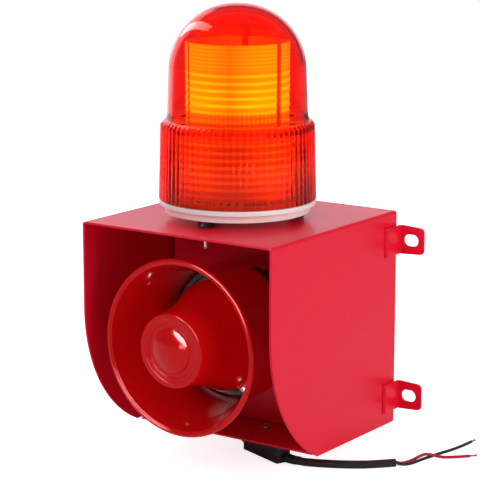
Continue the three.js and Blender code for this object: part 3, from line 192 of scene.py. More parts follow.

# %% [markdown]
# ## The free cable and its two wires
# A free cable is a fixed length of something flexible, so its facts come before its shape. This one
# leaves the module's strain relief, lies on the bench, and is stripped to a red and a black wire
# with bare ends. A curve with a round bevel keeps its thickness exact, and a smooth curve through
# listed points gives the relaxed bends.

# %% Routes, as on the engineering model. The third number is the height above the bench
RELIEF_ROUTE = [(35.1, -75.9, 3.7), (38.2, -76.6, 3.7), (41.6, -76.5, 3.5), (45.0, -75.7, 3.4)]
CABLE_ROUTE = [
    (45.4, -75.6, 3.2), (49.0, -74.4, 2.9), (54.0, -72.4, 2.8), (60.0, -69.8, 2.8),
    (66.5, -66.8, 2.8), (73.0, -63.2, 2.8), (79.0, -59.3, 2.8), (84.5, -55.0, 2.8),
    (89.5, -50.2, 2.8), (94.0, -45.4, 2.8), (97.6, -41.0, 2.8)]
RED_ROUTE = [
    (97.4, -39.6, 2.6), (99.2, -36.6, 1.6), (100.6, -31.0, 1.1), (101.6, -25.0, 1.1),
    (103.4, -19.6, 2.4), (106.4, -15.2, 3.4), (110.6, -11.4, 2.2), (115.4, -8.0, 1.1),
    (120.4, -4.2, 1.1), (125.0, 0.2, 1.1), (128.6, 4.4, 1.1)]
BLACK_ROUTE = [
    (99.8, -41.4, 2.6), (102.4, -37.6, 1.6), (104.4, -32.0, 1.1), (105.4, -26.0, 1.1),
    (106.2, -20.0, 1.1), (107.2, -14.0, 1.1), (108.4, -7.0, 1.1), (110.0, 0.0, 1.1),
    (111.8, 8.0, 1.1), (113.2, 17.0, 1.1), (114.0, 26.0, 1.1), (114.2, 33.0, 1.1)]
CABLE_RADIUS = 2.75
WIRE_RADIUS = 1.05


def lying(route):
    return [Vector((x, y, BENCH + lift)) for x, y, lift in route]


def smooth_line(points, step=0.8):
    """A Catmull-Rom line through the points, about one point for each step."""
    padded = [points[0] * 2 - points[1], *points, points[-1] * 2 - points[-2]]
    line = []
    for a, b, c, d in zip(padded, padded[1:], padded[2:], padded[3:]):
        count = max(2, round((c - b).length / step))
        for i in range(count):
            t = i / count
            line.append(0.5 * (2 * b + (c - a) * t + (2 * a - 5 * b + 4 * c - d) * t ** 2
                               + (3 * b - a - 3 * c + d) * t ** 3))
    return [*line, points[-1]]


def line_length(line):
    return sum((b - a).length for a, b in zip(line, line[1:]))


def cord_curve(name, lines, radius, caps=True):
    data = bpy.data.curves.new(name, "CURVE")
    data.dimensions = "3D"
    data.bevel_depth = radius * MM
    data.bevel_resolution = 5
    data.use_fill_caps = caps
    for line in lines:
        spline = data.splines.new("POLY")
        spline.points.add(len(line) - 1)
        for point, place in zip(spline.points, line):
            point.co = (*(place * MM), 1)
        spline.use_smooth = True
    return link(name, data)


cable_line = smooth_line(lying(RELIEF_ROUTE + CABLE_ROUTE))
red_line = smooth_line(lying(RED_ROUTE))
black_line = smooth_line(lying(BLACK_ROUTE))
cable = cord_curve("cable", [cable_line], CABLE_RADIUS)
red_wire_jacket = cord_curve("red_wire_jacket", [red_line], WIRE_RADIUS)
black_wire_jacket = cord_curve("black_wire_jacket", [black_line], WIRE_RADIUS)
print("cable", round(line_length(cable_line)), "red", round(line_length(red_line)),
      "black", round(line_length(black_line)), "mm")


# %% Twisted bare ends: seven fine strands that lie round each other
STRANDS = 7
STRAND_RADIUS = 0.22
STRAND_LENGTH = 5.2
STRAND_LAY = 9.0            # length of one full twist


def bare_end(name, line):
    along = (line[-1] - line[-2]).normalized()
    side = along.cross(Vector((0, 0, 1))).normalized()
    up = side.cross(along)
    strands = []
    for k in range(STRANDS):
        ring = 0 if k == 0 else 2 * STRAND_RADIUS
        strand = []
        for i in range(13):
            run = STRAND_LENGTH * i / 12
            angle = math.tau * (k / (STRANDS - 1) + run / STRAND_LAY)
            spread = ring * (1 + 0.25 * (i / 12) ** 3 * (k % 3))
            strand.append(line[-1] + along * run
                          + (side * math.cos(angle) + up * math.sin(angle)) * spread)
        strands.append(strand)
    return cord_curve(name, strands, STRAND_RADIUS)


red_strands = bare_end("red_strands", red_line)
black_strands = bare_end("black_strands", black_line)
print("bare ends with", STRANDS, "strands each")

# %% [markdown]
# ## Shared surface effects
# Several finishes need the same effects: a fine grain, a slow drift of colour, and evenly spaced
# bands. Each effect is one node group with named inputs and outputs, so that each material only
# states its own values. The groups put out masks, values and colours, and the shader itself stays
# in the material.

# %% Node helpers
def group(name, inputs, outputs):
    tree = bpy.data.node_groups.new(name, "ShaderNodeTree")
    for label, kind, value in inputs:
        socket = tree.interface.new_socket(label, in_out="INPUT", socket_type="NodeSocket" + kind)
        socket.default_value = value
    for label, kind in outputs:
        tree.interface.new_socket(label, in_out="OUTPUT", socket_type="NodeSocket" + kind)
    return tree, tree.nodes.new("NodeGroupInput"), tree.nodes.new("NodeGroupOutput")


def node(tree, kind, inputs=(), **settings):
    made = tree.nodes.new("ShaderNode" + kind)
    for key, value in settings.items():
        setattr(made, key, value)
    for key, value in dict(inputs).items():
        if isinstance(value, bpy.types.NodeSocket):
            tree.links.new(value, made.inputs[key])
        else:
            made.inputs[key].default_value = value
    return made


def maths(tree, operation, *values, clamp=False):
    return node(tree, "Math", dict(enumerate(values)), operation=operation,
                use_clamp=clamp).outputs[0]


print("node helpers ready")

# %% Grain: the small bumps of powder coat or of a spark-eroded mould
grain_tree, grain_in, grain_out = group(
    "Surface grain",
    [("Size mm", "Float", 1.0), ("Fine share", "Float", 0.4)],
    [("Height", "Float"), ("Patches", "Float")])
grain_place = node(grain_tree, "TexCoord").outputs["Object"]
grain_scale = maths(grain_tree, "DIVIDE", 1000.0, grain_in.outputs["Size mm"])
grain_coarse = node(grain_tree, "TexNoise", {"Vector": grain_place, "Scale": grain_scale,
                                             "Detail": 2.0, "Roughness": 0.5})
grain_fine_scale = maths(grain_tree, "MULTIPLY", grain_scale, 3.7)
grain_fine = node(grain_tree, "TexNoise", {"Vector": grain_place, "Scale": grain_fine_scale,
                                           "Detail": 1.0})
grain_mix = node(grain_tree, "Mix", {0: grain_in.outputs["Fine share"],
                                     2: grain_coarse.outputs["Fac"],
                                     3: grain_fine.outputs["Fac"]}, data_type="FLOAT")
grain_patches = node(grain_tree, "TexNoise", {"Vector": grain_place, "Scale": 22.0, "Detail": 3.0})
grain_tree.links.new(grain_mix.outputs[0], grain_out.inputs["Height"])
grain_tree.links.new(grain_patches.outputs["Fac"], grain_out.inputs["Patches"])
print("group:", grain_tree.name)

# %% Colour drift: a slow change of shade, and a little dust where the surface faces up
drift_tree, drift_in, drift_out = group(
    "Colour drift",
    [("Color", "Color", (1, 1, 1, 1)), ("Amount", "Float", 0.05), ("Dust", "Float", 0.0),
     ("Dust colour", "Color", (0.6, 0.56, 0.52, 1))],
    [("Color", "Color"), ("Dust mask", "Float")])
drift_place = node(drift_tree, "TexCoord").outputs["Object"]
drift_noise = node(drift_tree, "TexNoise", {"Vector": drift_place, "Scale": 14.0, "Detail": 2.0})
drift_value = maths(drift_tree, "MULTIPLY_ADD", drift_noise.outputs["Fac"],
                    maths(drift_tree, "MULTIPLY", drift_in.outputs["Amount"], 2.0),
                    maths(drift_tree, "SUBTRACT", 1.0, drift_in.outputs["Amount"]))
drift_shade = node(drift_tree, "HueSaturation", {"Color": drift_in.outputs["Color"],
                                                 "Value": drift_value})
drift_up = node(drift_tree, "SeparateXYZ",
                {0: node(drift_tree, "NewGeometry").outputs["Normal"]}).outputs["Z"]
drift_specks = node(drift_tree, "TexNoise", {"Vector": drift_place, "Scale": 260.0, "Detail": 4.0})
drift_mask = maths(drift_tree, "MULTIPLY",
                   maths(drift_tree, "MULTIPLY", maths(drift_tree, "MAXIMUM", drift_up, 0.0),
                         drift_specks.outputs["Fac"]),
                   drift_in.outputs["Dust"], clamp=True)
drift_mix = node(drift_tree, "Mix", {0: drift_mask, 6: drift_shade.outputs["Color"],
                                     7: drift_in.outputs["Dust colour"]}, data_type="RGBA")
drift_tree.links.new(drift_mix.outputs[2], drift_out.inputs["Color"])
drift_tree.links.new(drift_mask, drift_out.inputs["Dust mask"])
print("group:", drift_tree.name)

# %% Bands: evenly spaced lines up the height of a part
band_tree, band_in, band_out = group(
    "Bands",
    [("Pitch mm", "Float", 4.4), ("First mm", "Float", 0.0), ("Line share", "Float", 0.3)],
    [("Mask", "Float"), ("Height mm", "Float")])
band_z = node(band_tree, "SeparateXYZ",
              {0: node(band_tree, "TexCoord").outputs["Object"]}).outputs["Z"]
band_mm = maths(band_tree, "MULTIPLY", band_z, 1000.0)
band_turn = maths(band_tree, "FRACT", maths(
    band_tree, "DIVIDE", maths(band_tree, "SUBTRACT", band_mm, band_in.outputs["First mm"]),
    band_in.outputs["Pitch mm"]))
band_far = maths(band_tree, "ABSOLUTE", maths(band_tree, "SUBTRACT", band_turn, 0.5))
band_mask = node(band_tree, "MapRange", {
    "Value": band_far, "From Min": maths(band_tree, "DIVIDE", band_in.outputs["Line share"], 2.0),
    "From Max": band_in.outputs["Line share"], "To Min": 1.0, "To Max": 0.0},
    interpolation_type="SMOOTHSTEP").outputs["Result"]
band_tree.links.new(band_mask, band_out.inputs["Mask"])
band_tree.links.new(band_mm, band_out.inputs["Height mm"])
print("group:", band_tree.name)

# %% [markdown]
# ## The finishes
# Each finish is one short function call: a Principled shader with its own constants, fed by the
# shared groups. The hood's powder coat reflects red when seen head-on and nearly white at a
# grazing look, which is what makes the roof look paler than the cheeks.

# %% Opaque finishes
FINISH = {}


def opaque(slot, colour, roughness, grain_mm=1.0, bump=0.1, drift=0.04, dust=0.0, spread=0.06,
           **constants):
    made = bpy.data.materials.new(slot)
    made.use_nodes = True
    tree = made.node_tree
    shader = tree.nodes["Principled BSDF"]
    grain = node(tree, "Group", node_tree=grain_tree)
    grain.inputs["Size mm"].default_value = grain_mm
    tint = node(tree, "Group", node_tree=drift_tree)
    tint.inputs["Color"].default_value = (*colour, 1)
    tint.inputs["Amount"].default_value = drift
    tint.inputs["Dust"].default_value = dust
    tree.links.new(tint.outputs["Color"], shader.inputs["Base Color"])
    rough = maths(tree, "MULTIPLY_ADD", grain.outputs["Patches"], 2 * spread, roughness - spread)
    rough = maths(tree, "MULTIPLY_ADD", tint.outputs["Dust mask"], 0.3, rough, clamp=True)
    tree.links.new(rough, shader.inputs["Roughness"])
    relief = node(tree, "Bump", {"Height": grain.outputs["Height"], "Strength": bump,
                                 "Distance": 0.0002})
    tree.links.new(relief.outputs["Normal"], shader.inputs["Normal"])
    for socket, value in constants.items():
        shader.inputs[socket.replace("_", " ")].default_value = value
    FINISH[slot] = made
    return made


opaque("red_paint", (0.83, 0.006, 0.028), 0.34, grain_mm=1.4, bump=0.16, drift=0.03, dust=0.02,
       Specular_Tint=(1.0, 0.12, 0.3, 1), Coat_Weight=0.12, Coat_Roughness=0.16, IOR=1.45)
opaque("red_plastic", (0.66, 0.003, 0.005), 0.1, grain_mm=5.0, bump=0.05, drift=0.02, spread=0.03,
       Specular_Tint=(1.0, 0.12, 0.12, 1), Coat_Weight=0.2, Coat_Roughness=0.04)
opaque("black_plastic", (0.022, 0.023, 0.032), 0.36, grain_mm=0.35, bump=0.35, drift=0.1)
opaque("black_rubber", (0.014, 0.014, 0.015), 0.5, grain_mm=0.5, bump=0.25, drift=0.12, dust=0.05)
opaque("black_pvc", (0.016, 0.016, 0.018), 0.38, grain_mm=0.9, bump=0.12, drift=0.08, dust=0.03)
opaque("red_pvc", (0.50, 0.006, 0.03), 0.36, grain_mm=0.9, bump=0.12, drift=0.05)
opaque("cream_plastic", (0.88, 0.85, 0.81), 0.34, grain_mm=0.5, bump=0.12, drift=0.03, dust=0.03)
opaque("white_plastic", (0.56, 0.55, 0.53), 0.4, grain_mm=0.5, bump=0.15, drift=0.03)
opaque("zinc_steel", (0.66, 0.67, 0.69), 0.26, grain_mm=0.3, bump=0.1, drift=0.08, Metallic=1.0)
opaque("bare_copper", (0.86, 0.62, 0.48), 0.24, grain_mm=0.3, bump=0.1, drift=0.1, Metallic=1.0)
opaque("ferrite", (0.05, 0.05, 0.053), 0.6, grain_mm=0.4, bump=0.4, drift=0.15)
opaque("circuit_board", (0.02, 0.16, 0.06), 0.35, grain_mm=2.5, bump=0.2, drift=0.15)
print("opaque finishes:", ", ".join(FINISH))

# %% [markdown]
# ### The clear red dome
# Real coloured plastic is clear, and its colour comes from how much of it light passes through:
# orange straight through one wall, deep red along an edge. A closed shell with a real wall and an
# absorbing inside does this by itself, where a tinted surface could not.

# %% Clear red plastic
red_lens = bpy.data.materials.new("red_lens")
red_lens.use_nodes = True
lens_tree = red_lens.node_tree
lens_shader = lens_tree.nodes["Principled BSDF"]
lens_shader.inputs["Base Color"].default_value = (1, 1, 1, 1)
lens_shader.inputs["Transmission Weight"].default_value = 1.0
lens_shader.inputs["Roughness"].default_value = 0.02
lens_shader.inputs["IOR"].default_value = 1.47
lens_shader.inputs["Specular Tint"].default_value = (1.0, 0.42, 0.28, 1)
lens_inside = node(lens_tree, "VolumeAbsorption", {"Color": (0.995, 0.62, 0.03, 1),
                                                   "Density": 2500.0})
lens_tree.links.new(lens_inside.outputs[0], lens_tree.nodes["Material Output"].inputs["Volume"])
FINISH["red_lens"] = red_lens
print("clear red: absorbs", lens_inside.inputs["Density"].default_value, "per metre")

# %% [markdown]
# ### The lit amber drum
# The drum inside the dome is moulded with horizontal ribs that catch the lamps. Its ribs are real
# geometry, and the lamps' light is added as an emission that is strongest along each rib and
# towards each panel's upright edges. It is worked out in the panel's own space, so it turns with it.

# %% Amber drum
TIER_SPLIT = ROOF + 53.5        # where the drum steps from wide to narrow
FIRST_PANEL = -63.5             # degrees round to the middle of the first panel
FINE_RIBS = TIER_SPLIT + 46.0   # the ribs are finer above this
COARSE_PITCH = 4.7
FINE_PITCH = 2.35
UPPER_SHADE = TIER_SPLIT + 13   # the narrow tier is in shade below this
UPPER_BRIGHT = TIER_SPLIT + 23  # and brightest here
LOWER_SHADE = ROOF + 20         # the wide tier is in shade below this
LOWER_BRIGHT = ROOF + 34
INNER_EDGE = 32.8 * MM          # inside this radius the drum's own wall is in shade
amber = bpy.data.materials.new("amber_lens")
amber.use_nodes = True
amber_tree = amber.node_tree
amber_shader = amber_tree.nodes["Principled BSDF"]


def ribs_of(pitch, share):
    bands = node(amber_tree, "Group", node_tree=band_tree)
    bands.inputs["Pitch mm"].default_value = pitch
    bands.inputs["First mm"].default_value = ROOF
    bands.inputs["Line share"].default_value = share
    return bands


def ramp(height, low, high, start, end):
    made = node(amber_tree, "MapRange", {"Value": height, "From Min": low, "From Max": high,
                                         "To Min": start, "To Max": end})
    return made.outputs["Result"]


def amount(operation, *values):
    return maths(amber_tree, operation, *values)


coarse = ribs_of(COARSE_PITCH, 0.26)
fine = ribs_of(FINE_PITCH, 0.3)
height = coarse.outputs["Height mm"]
is_fine = ramp(height, FINE_RIBS, FINE_RIBS + 1, 0, 1)
is_upper = ramp(height, TIER_SPLIT + 1.5, TIER_SPLIT + 2.5, 0, 1)
lines = node(amber_tree, "Mix", {0: is_fine, 2: coarse.outputs["Mask"],
                                 3: amount("MULTIPLY", fine.outputs["Mask"], 0.35)},
             data_type="FLOAT").outputs[0]
upper_level = amount("MULTIPLY", ramp(height, UPPER_BRIGHT, FINE_RIBS, 1.0, 0.72),
                     amount("MULTIPLY_ADD", lines, 0.42, 0.58))
upper_level = amount("MULTIPLY", upper_level,
                     ramp(height, UPPER_SHADE, UPPER_BRIGHT, 0.05, 1.0))
lower_level = amount("MULTIPLY", ramp(height, LOWER_SHADE, LOWER_BRIGHT, 0.2, 1.0),
                     amount("MULTIPLY_ADD", lines, 0.07, 0.035))
level = node(amber_tree, "Mix", {0: is_upper, 2: lower_level, 3: upper_level},
             data_type="FLOAT").outputs[0]
axis_far = node(amber_tree, "VectorMath",
                {0: node(amber_tree, "TexCoord").outputs["Object"],
                 1: (0, -BEACON_Y * MM, 0)}, operation="ADD").outputs["Vector"]
flat_far = node(amber_tree, "VectorMath", {0: axis_far, 1: (1, 1, 0)},
                operation="MULTIPLY").outputs["Vector"]
far = node(amber_tree, "VectorMath", {0: flat_far}, operation="LENGTH").outputs["Value"]
around = node(amber_tree, "SeparateXYZ", {0: axis_far}).outputs
spin = amount("ARCTAN2", around["Y"], around["X"])
# painted light and shade: 72 upright stripes in the glow, full in the wide tier and the foot of the
# narrow tier and fading out higher up, stand in for the lamps' light broken by the collar's flutes
stripes = amount("ABSOLUTE", amount("SINE", amount("MULTIPLY", spin, 36.0)))
grid = amount("MULTIPLY_ADD", stripes, 0.6, 0.5)
grid_share = ramp(height, UPPER_SHADE + 1, UPPER_BRIGHT + 1, 1.0, 0.0)
level = node(amber_tree, "Mix", {0: grid_share, 2: level,
                                 3: amount("MULTIPLY", level, grid)},
             data_type="FLOAT").outputs[0]
half_turns = amount("MULTIPLY_ADD", spin, 1.5, -1.5 * math.radians(FIRST_PANEL))
edges = amount("ABSOLUTE", amount("SINE", half_turns))
level = amount("MULTIPLY", level, amount("MULTIPLY_ADD", edges, 0.7, 0.75))
is_outer = ramp(far, INNER_EDGE, INNER_EDGE + 0.2 * MM, 0.16, 1)
level = amount("MULTIPLY", level, is_outer)
glow = node(amber_tree, "ValToRGB", {"Fac": level})
glow.color_ramp.elements[0].color = (0.02, 0.003, 0, 1)
glow.color_ramp.elements[1].color = (1.0, 0.95, 0.0, 1)
for place, colour in ((0.04, (0.09, 0.03, 0, 1)), (0.2, (0.5, 0.13, 0, 1)),
                      (0.5, (1.0, 0.42, 0, 1))):
    glow.color_ramp.elements.new(place).color = colour
amber_shader.inputs["Base Color"].default_value = (0.6, 0.14, 0.0, 1)
amber_shader.inputs["Roughness"].default_value = 0.25
amber_shader.inputs["Emission Strength"].default_value = 6.5
amber_tree.links.new(glow.outputs["Color"], amber_shader.inputs["Emission Color"])
FINISH["amber_lens"] = amber
print("amber drum glows from", round(TIER_SPLIT, 1), "mm up")

# %% [markdown]
# ## Builders for the shapes
# Three ways of making cover nearly every piece. A turned piece is a profile swept round an axis. A
# folded piece starts as the flat blank that a press would cut, with its holes, and is then folded
# along its bend lines as a brake press would fold it. A moulded block has its edges bevelled. All of
# them end in `fit`, which gives a piece its finish and its body and hides the part that it stands for.

# %% Finish a piece
def shade(mesh, angle=28):
    mesh.polygons.foreach_set("use_smooth", [True] * len(mesh.polygons))
    mesh.set_sharp_from_angle(angle=math.radians(angle))


def fit(obj, slot, *stands_for, body="siren_body"):
    obj.data.materials.clear()
    obj.data.materials.append(FINISH[slot])
    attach(obj, body)
    if stands_for:
        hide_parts(*stands_for)
    return obj


def piece(name, bm, slot, *stands_for, body="siren_body", place=Matrix(), angle=28):
    """Turns a bmesh in millimetres into a finished piece in metres."""
    bmesh.ops.remove_doubles(bm, verts=bm.verts, dist=1e-4)
    bmesh.ops.dissolve_degenerate(bm, edges=bm.edges, dist=1e-4)
    bmesh.ops.recalc_face_normals(bm, faces=bm.faces)
    bm.transform(Matrix.Scale(MM, 4) @ place)
    mesh = bpy.data.meshes.new(name)
    bm.to_mesh(mesh)
    bm.free()
    shade(mesh, angle)
    made = link(name, mesh)
    if slot == "red_paint":
        even = made.modifiers.new("even_faces", "WEIGHTED_NORMAL")
        even.keep_sharp = True
        even.weight = 100
    return fit(made, slot, *stands_for, body=body)


def merged(*parts):
    whole = bmesh.new()
    for part in parts:
        mesh = bpy.data.meshes.new("part")
        part.to_mesh(mesh)
        whole.from_mesh(mesh)
        bpy.data.meshes.remove(mesh)
        part.free()
    return whole


def moved(bm, matrix):
    bm.transform(matrix)
    return bm


print("fit and piece ready")


# %% Turned pieces
def rounded(points, fineness=12):
    """Each corner that carries a third number becomes an arc of that radius."""
    out = []
    for i, point in enumerate(points):
        here = Vector(point[:2])
        if len(point) < 3:
            out.append(here)
            continue
        before = Vector(points[i - 1][:2]) - here
        after = Vector(points[(i + 1) % len(points)][:2]) - here
        half = before.angle(after) / 2
        reach = min(point[2] / math.tan(half), 0.49 * before.length, 0.49 * after.length)
        radius = reach * math.tan(half)
        centre = here + (before.normalized() + after.normalized()).normalized() * (
            radius / math.sin(half))
        start = here + before.normalized() * reach - centre
        end = here + after.normalized() * reach - centre
        sweep = start.angle_signed(end)
        steps = max(2, math.ceil(abs(sweep) / (math.pi / fineness)))
        for k in range(steps + 1):
            out.append(centre + Matrix.Rotation(-sweep * k / steps, 2) @ start)
    return out


def turned(profile, sides=96, span=(0, 360), ripple=None):
    """Sweeps a closed (radius, height) profile round Z. A short span gets end faces."""
    outline = rounded(profile)
    whole = span[1] - span[0] >= 360
    bm = bmesh.new()
    rings = []
    for k in range(sides if whole else sides + 1):
        angle = math.radians(span[0] + (span[1] - span[0]) * k / sides)
        ring = []
        for point in outline:
            radius = ripple(angle, point.x, point.y) if ripple else point.x
            ring.append(bm.verts.new((radius * math.cos(angle), radius * math.sin(angle), point.y)))
        rings.append(ring)
    pairs = list(zip(rings, rings[1:])) + ([(rings[-1], rings[0])] if whole else [])
    count = len(outline)
    for one, two in pairs:
        for i in range(count):
            j = (i + 1) % count
            if max(outline[i].x, outline[j].x) > 1e-6:
                bm.faces.new((one[i], two[i], two[j], one[j]))
    if not whole:
        bm.faces.new(rings[0])
        bm.faces.new(rings[-1][::-1])
    return bm


print("turned pieces ready")


# %% Folded pieces
def arc(centre, radius, start, end, steps=8):
    return [(centre[0] + radius * math.cos(math.radians(start + (end - start) * k / steps)),
             centre[1] + radius * math.sin(math.radians(start + (end - start) * k / steps)))
            for k in range(steps + 1)]


def circle(centre, radius, sides=24):
    return arc(centre, radius, 0, 360 - 360 / sides, sides - 1)


def blank(outline, holes=(), thickness=1.5, edge=0.25):
    """The flat sheet that a press cuts: an outline with holes and softened edges."""
    curve = bpy.data.curves.new("blank", "CURVE")
    curve.dimensions = "2D"
    curve.fill_mode = "BOTH"
    curve.extrude = thickness / 2 - edge
    curve.bevel_depth = edge
    curve.bevel_resolution = 1
    curve.offset = -edge
    for loop in [outline, *holes]:
        spline = curve.splines.new("POLY")
        spline.points.add(len(loop) - 1)
        for point, place in zip(spline.points, loop):
            point.co = (place[0], place[1], 0, 1)
        spline.use_cyclic_u = True
    holder = link("blank", curve)
    bm = bmesh.new()
    mesh = bpy.data.meshes.new_from_object(
        holder.evaluated_get(bpy.context.evaluated_depsgraph_get()))
    bm.from_mesh(mesh)
    bmesh.ops.remove_doubles(bm, verts=bm.verts, dist=1e-3)
    bpy.data.objects.remove(holder)
    bpy.data.curves.remove(curve)
    bpy.data.meshes.remove(mesh)
    return bm


def folded(bm, start, heading, steps):
    """Folds a blank along its X. A step is a run's length or a bend's (degrees, radius)."""
    frames = []
    place, along, run = Vector(start), Vector(heading).normalized(), 0.0
    for step in steps:
        if not isinstance(step, tuple):
            frames.append((run, run + step, place.copy(), along.copy(), 0.0))
            place, run = place + along * step, run + step
            continue
        turn, radius = math.radians(step[0]), step[1]
        length = abs(turn) * radius
        frames.append((run, run + length, place.copy(), along.copy(), turn))
        for k in range(9):
            bmesh.ops.bisect_plane(bm, geom=bm.verts[:] + bm.edges[:] + bm.faces[:],
                                   plane_co=(run + length * k / 8, 0, 0), plane_no=(1, 0, 0))
        inward = along.orthogonal() * math.copysign(1, turn)
        centre = place + inward * radius
        place = centre + Matrix.Rotation(turn, 2) @ (place - centre)
        along = Matrix.Rotation(turn, 2) @ along
        run += length
    for vert in bm.verts:
        s, offset = vert.co.x, vert.co.z
        begin, end, origin, direction, turn = next(
            (f for f in frames if s <= f[1] + 1e-6), frames[-1])
        share = s - begin
        if turn:
            radius = (end - begin) / abs(turn)
            inward = direction.orthogonal() * math.copysign(1, turn)
            centre = origin + inward * radius
            spin = Matrix.Rotation(turn * share / (end - begin), 2)
            point = centre + spin @ (origin - centre)
            facing = spin @ direction
        else:
            point = origin + direction * share
            facing = direction
        out = point + facing.orthogonal() * offset
        vert.co = (out.x, vert.co.y, out.y)
    return bm


print("folding ready, a turn to the left is positive")

# %% [markdown]
# ## The hood
# The hood is one sheet of 1.5 mm steel. Its blank is a long strip: left cheek, roof, right cheek,
# with the cheeks' curved front edges, four slits for the wall ears and the beacon's holes already
# in it. Two folds turn the strip into the hood, and the small bends catch the light as real ones do.

# %% Hood shell
SHEET = 1.5
FOLD_RADIUS = 1.25              # to the middle of the sheet
CHEEK_STRAIGHT = 58.2
CHEEK_SWEEP = 65.4
floor_low, floor_high = box_mm("floor_plate")
FLOOR_SETBACK = floor_low.y - FRONT
EAR_DROPS = [ROOF - sum(corner.z for corner in box_mm(f"wall_ear_{level}_right")) / 2
             for level in ("upper", "lower")]
EAR_RISE = (box_mm("wall_ear_upper_right")[1] - box_mm("wall_ear_upper_right")[0]).z
ear_hook = box_mm("wall_ear_upper_right")[0]
SLIT_Y = ear_hook.y + SHEET / 2 - FRONT
AIR = 0.3
SCREW_CLEARANCE = 2.3          # radius of the holes for the long screws


def cheek_curve(steps=40):
    """The front edge of a cheek: (how far up from the bottom, how far back), bottom first."""
    end = math.radians(CHEEK_SWEEP)
    across = FLOOR_SETBACK / (1 - math.cos(end))
    down = (HOOD_HEIGHT - CHEEK_STRAIGHT) / math.sin(end)
    points = []
    for k in range(steps + 1):
        angle = end * (1 - k / steps)
        drop = CHEEK_STRAIGHT + down * math.sin(angle)
        points.append((HOOD_HEIGHT - drop, across * (1 - math.cos(angle))))
    return points


def rectangle(x, y, half_x, half_y):
    return [(x - half_x, y - half_y), (x + half_x, y - half_y),
            (x + half_x, y + half_y), (x - half_x, y + half_y)]


cheek_run = HOOD_HEIGHT - SHEET / 2 - FOLD_RADIUS
roof_run = HOOD_WIDTH - SHEET - 2 * FOLD_RADIUS
fold_length = math.radians(90) * FOLD_RADIUS
strip_length = 2 * cheek_run + roof_run + 2 * fold_length
left_edge = cheek_curve()
right_edge = [(strip_length - up, back) for up, back in reversed(left_edge)]
hood_outline = [*left_edge, *right_edge,
                (strip_length, HOOD_DEPTH - 1), (strip_length - 1, HOOD_DEPTH),
                (1, HOOD_DEPTH), (0, HOOD_DEPTH - 1)]
hood_holes = []
for drop in EAR_DROPS:
    up = HOOD_HEIGHT - drop
    for middle in (up, strip_length - up):
        hood_holes.append(rectangle(middle, SLIT_Y, EAR_RISE / 2 + AIR, SHEET / 2 + AIR))
beacon_setback = BEACON_Y - FRONT
foot_places = []
for k in (1, 2, 3):
    low, high = box_mm(f"base_foot_{k}")
    foot_places.append(Vector(((low.x + high.x) / 2, (low.y + high.y) / 2, ROOF)))
    hood_holes.append(circle((strip_length / 2 + foot_places[-1].x, foot_places[-1].y - FRONT),
                             SCREW_CLEARANCE))
hood_holes.append(circle((strip_length / 2, beacon_setback), 5.0))
hood_blank = blank(hood_outline, hood_holes, SHEET)
hood_folded = folded(hood_blank, (-HOOD_WIDTH / 2 + SHEET / 2, ROOF - HOOD_HEIGHT), (0, 1),
                     [cheek_run, (-90, FOLD_RADIUS), roof_run, (-90, FOLD_RADIUS), cheek_run])
moved(hood_folded, Matrix.Translation((0, FRONT, 0)))
flanges = []
for side in (-1, 1):
    flange_drop = HOOD_HEIGHT - SHEET - 10
    flange = blank([(0, 0), (11, 0), (11, flange_drop), (0, flange_drop)], thickness=SHEET)
    moved(flange, Matrix.Rotation(math.radians(90), 4, "X"))
    moved(flange, Matrix.Translation((-5.5 + side * (HOOD_WIDTH / 2 - SHEET - 5.6),
                                      FRONT + HOOD_DEPTH - SHEET - AIR - SHEET / 2,
                                      ROOF - SHEET / 2 - flange_drop)))
    flanges.append(flange)
piece("hood_sheet", merged(hood_folded, *flanges), "red_paint", "hood_shell")
print("hood strip", round(strip_length, 1), "mm long with", len(hood_holes), "holes")

# %% [markdown]
# ### Floor, partition and rear cover
# The floor is a shallow tray: its side flanges are turned up against the cheeks and stop short of
# the front edge, where only the thin lip shows. The partition and the cover are flat sheets.

# %% Floor tray
grommet_low, grommet_high = box_mm("floor_grommet")
GROMMET = (grommet_low + grommet_high) / 2
module_low, module_high = box_mm("module_screw")
MODULE = (module_low + module_high) / 2
INNER_HALF = floor_high.x
FLANGE = floor_high.z - floor_low.z
FLANGE_SETBACK = 8
tray_depth = floor_high.y - floor_low.y
flange_run = FLANGE - SHEET / 2 - FOLD_RADIUS
tray_run = 2 * INNER_HALF - SHEET - 2 * FOLD_RADIUS
tray_length = 2 * flange_run + tray_run + 2 * fold_length
notch = flange_run + fold_length + 0.8
tray_outline = [(0, FLANGE_SETBACK + 2), (2, FLANGE_SETBACK), (notch, FLANGE_SETBACK), (notch, 0),
                (tray_length - notch, 0), (tray_length - notch, FLANGE_SETBACK),
                (tray_length - 2, FLANGE_SETBACK), (tray_length, FLANGE_SETBACK + 2),
                (tray_length, tray_depth), (0, tray_depth)]
tray_holes = [circle((tray_length / 2 + GROMMET.x, GROMMET.y - floor_low.y), 4.9),
              circle((tray_length / 2 + MODULE.x, MODULE.y - floor_low.y), 1.9)]
tray = folded(blank(tray_outline, tray_holes, SHEET),
              (-INNER_HALF + SHEET / 2, floor_high.z), (0, -1),
              [flange_run, (90, FOLD_RADIUS), tray_run, (90, FOLD_RADIUS), flange_run])
piece("floor_tray", moved(tray, Matrix.Translation((0, floor_low.y, 0))), "red_paint",
      "floor_plate")
print("tray", round(tray_length, 1), "mm across its blank")


# %% Flat sheets
def upright_sheet(name, node_name, holes):
    """A flat sheet that stands across the hood, the size of its node. Holes are (x, z, radius)."""
    low, high = box_mm(node_name)
    outline = [(low.x, low.z), (high.x, low.z), (high.x, high.z), (low.x, high.z)]
    sheet = blank(outline, [circle((x, z), radius) for x, z, radius in holes], high.y - low.y)
    moved(sheet, Matrix.Rotation(math.radians(90), 4, "X"))
    moved(sheet, Matrix.Translation((0, (low.y + high.y) / 2, 0)))
    return piece(name, sheet, "red_paint", node_name)


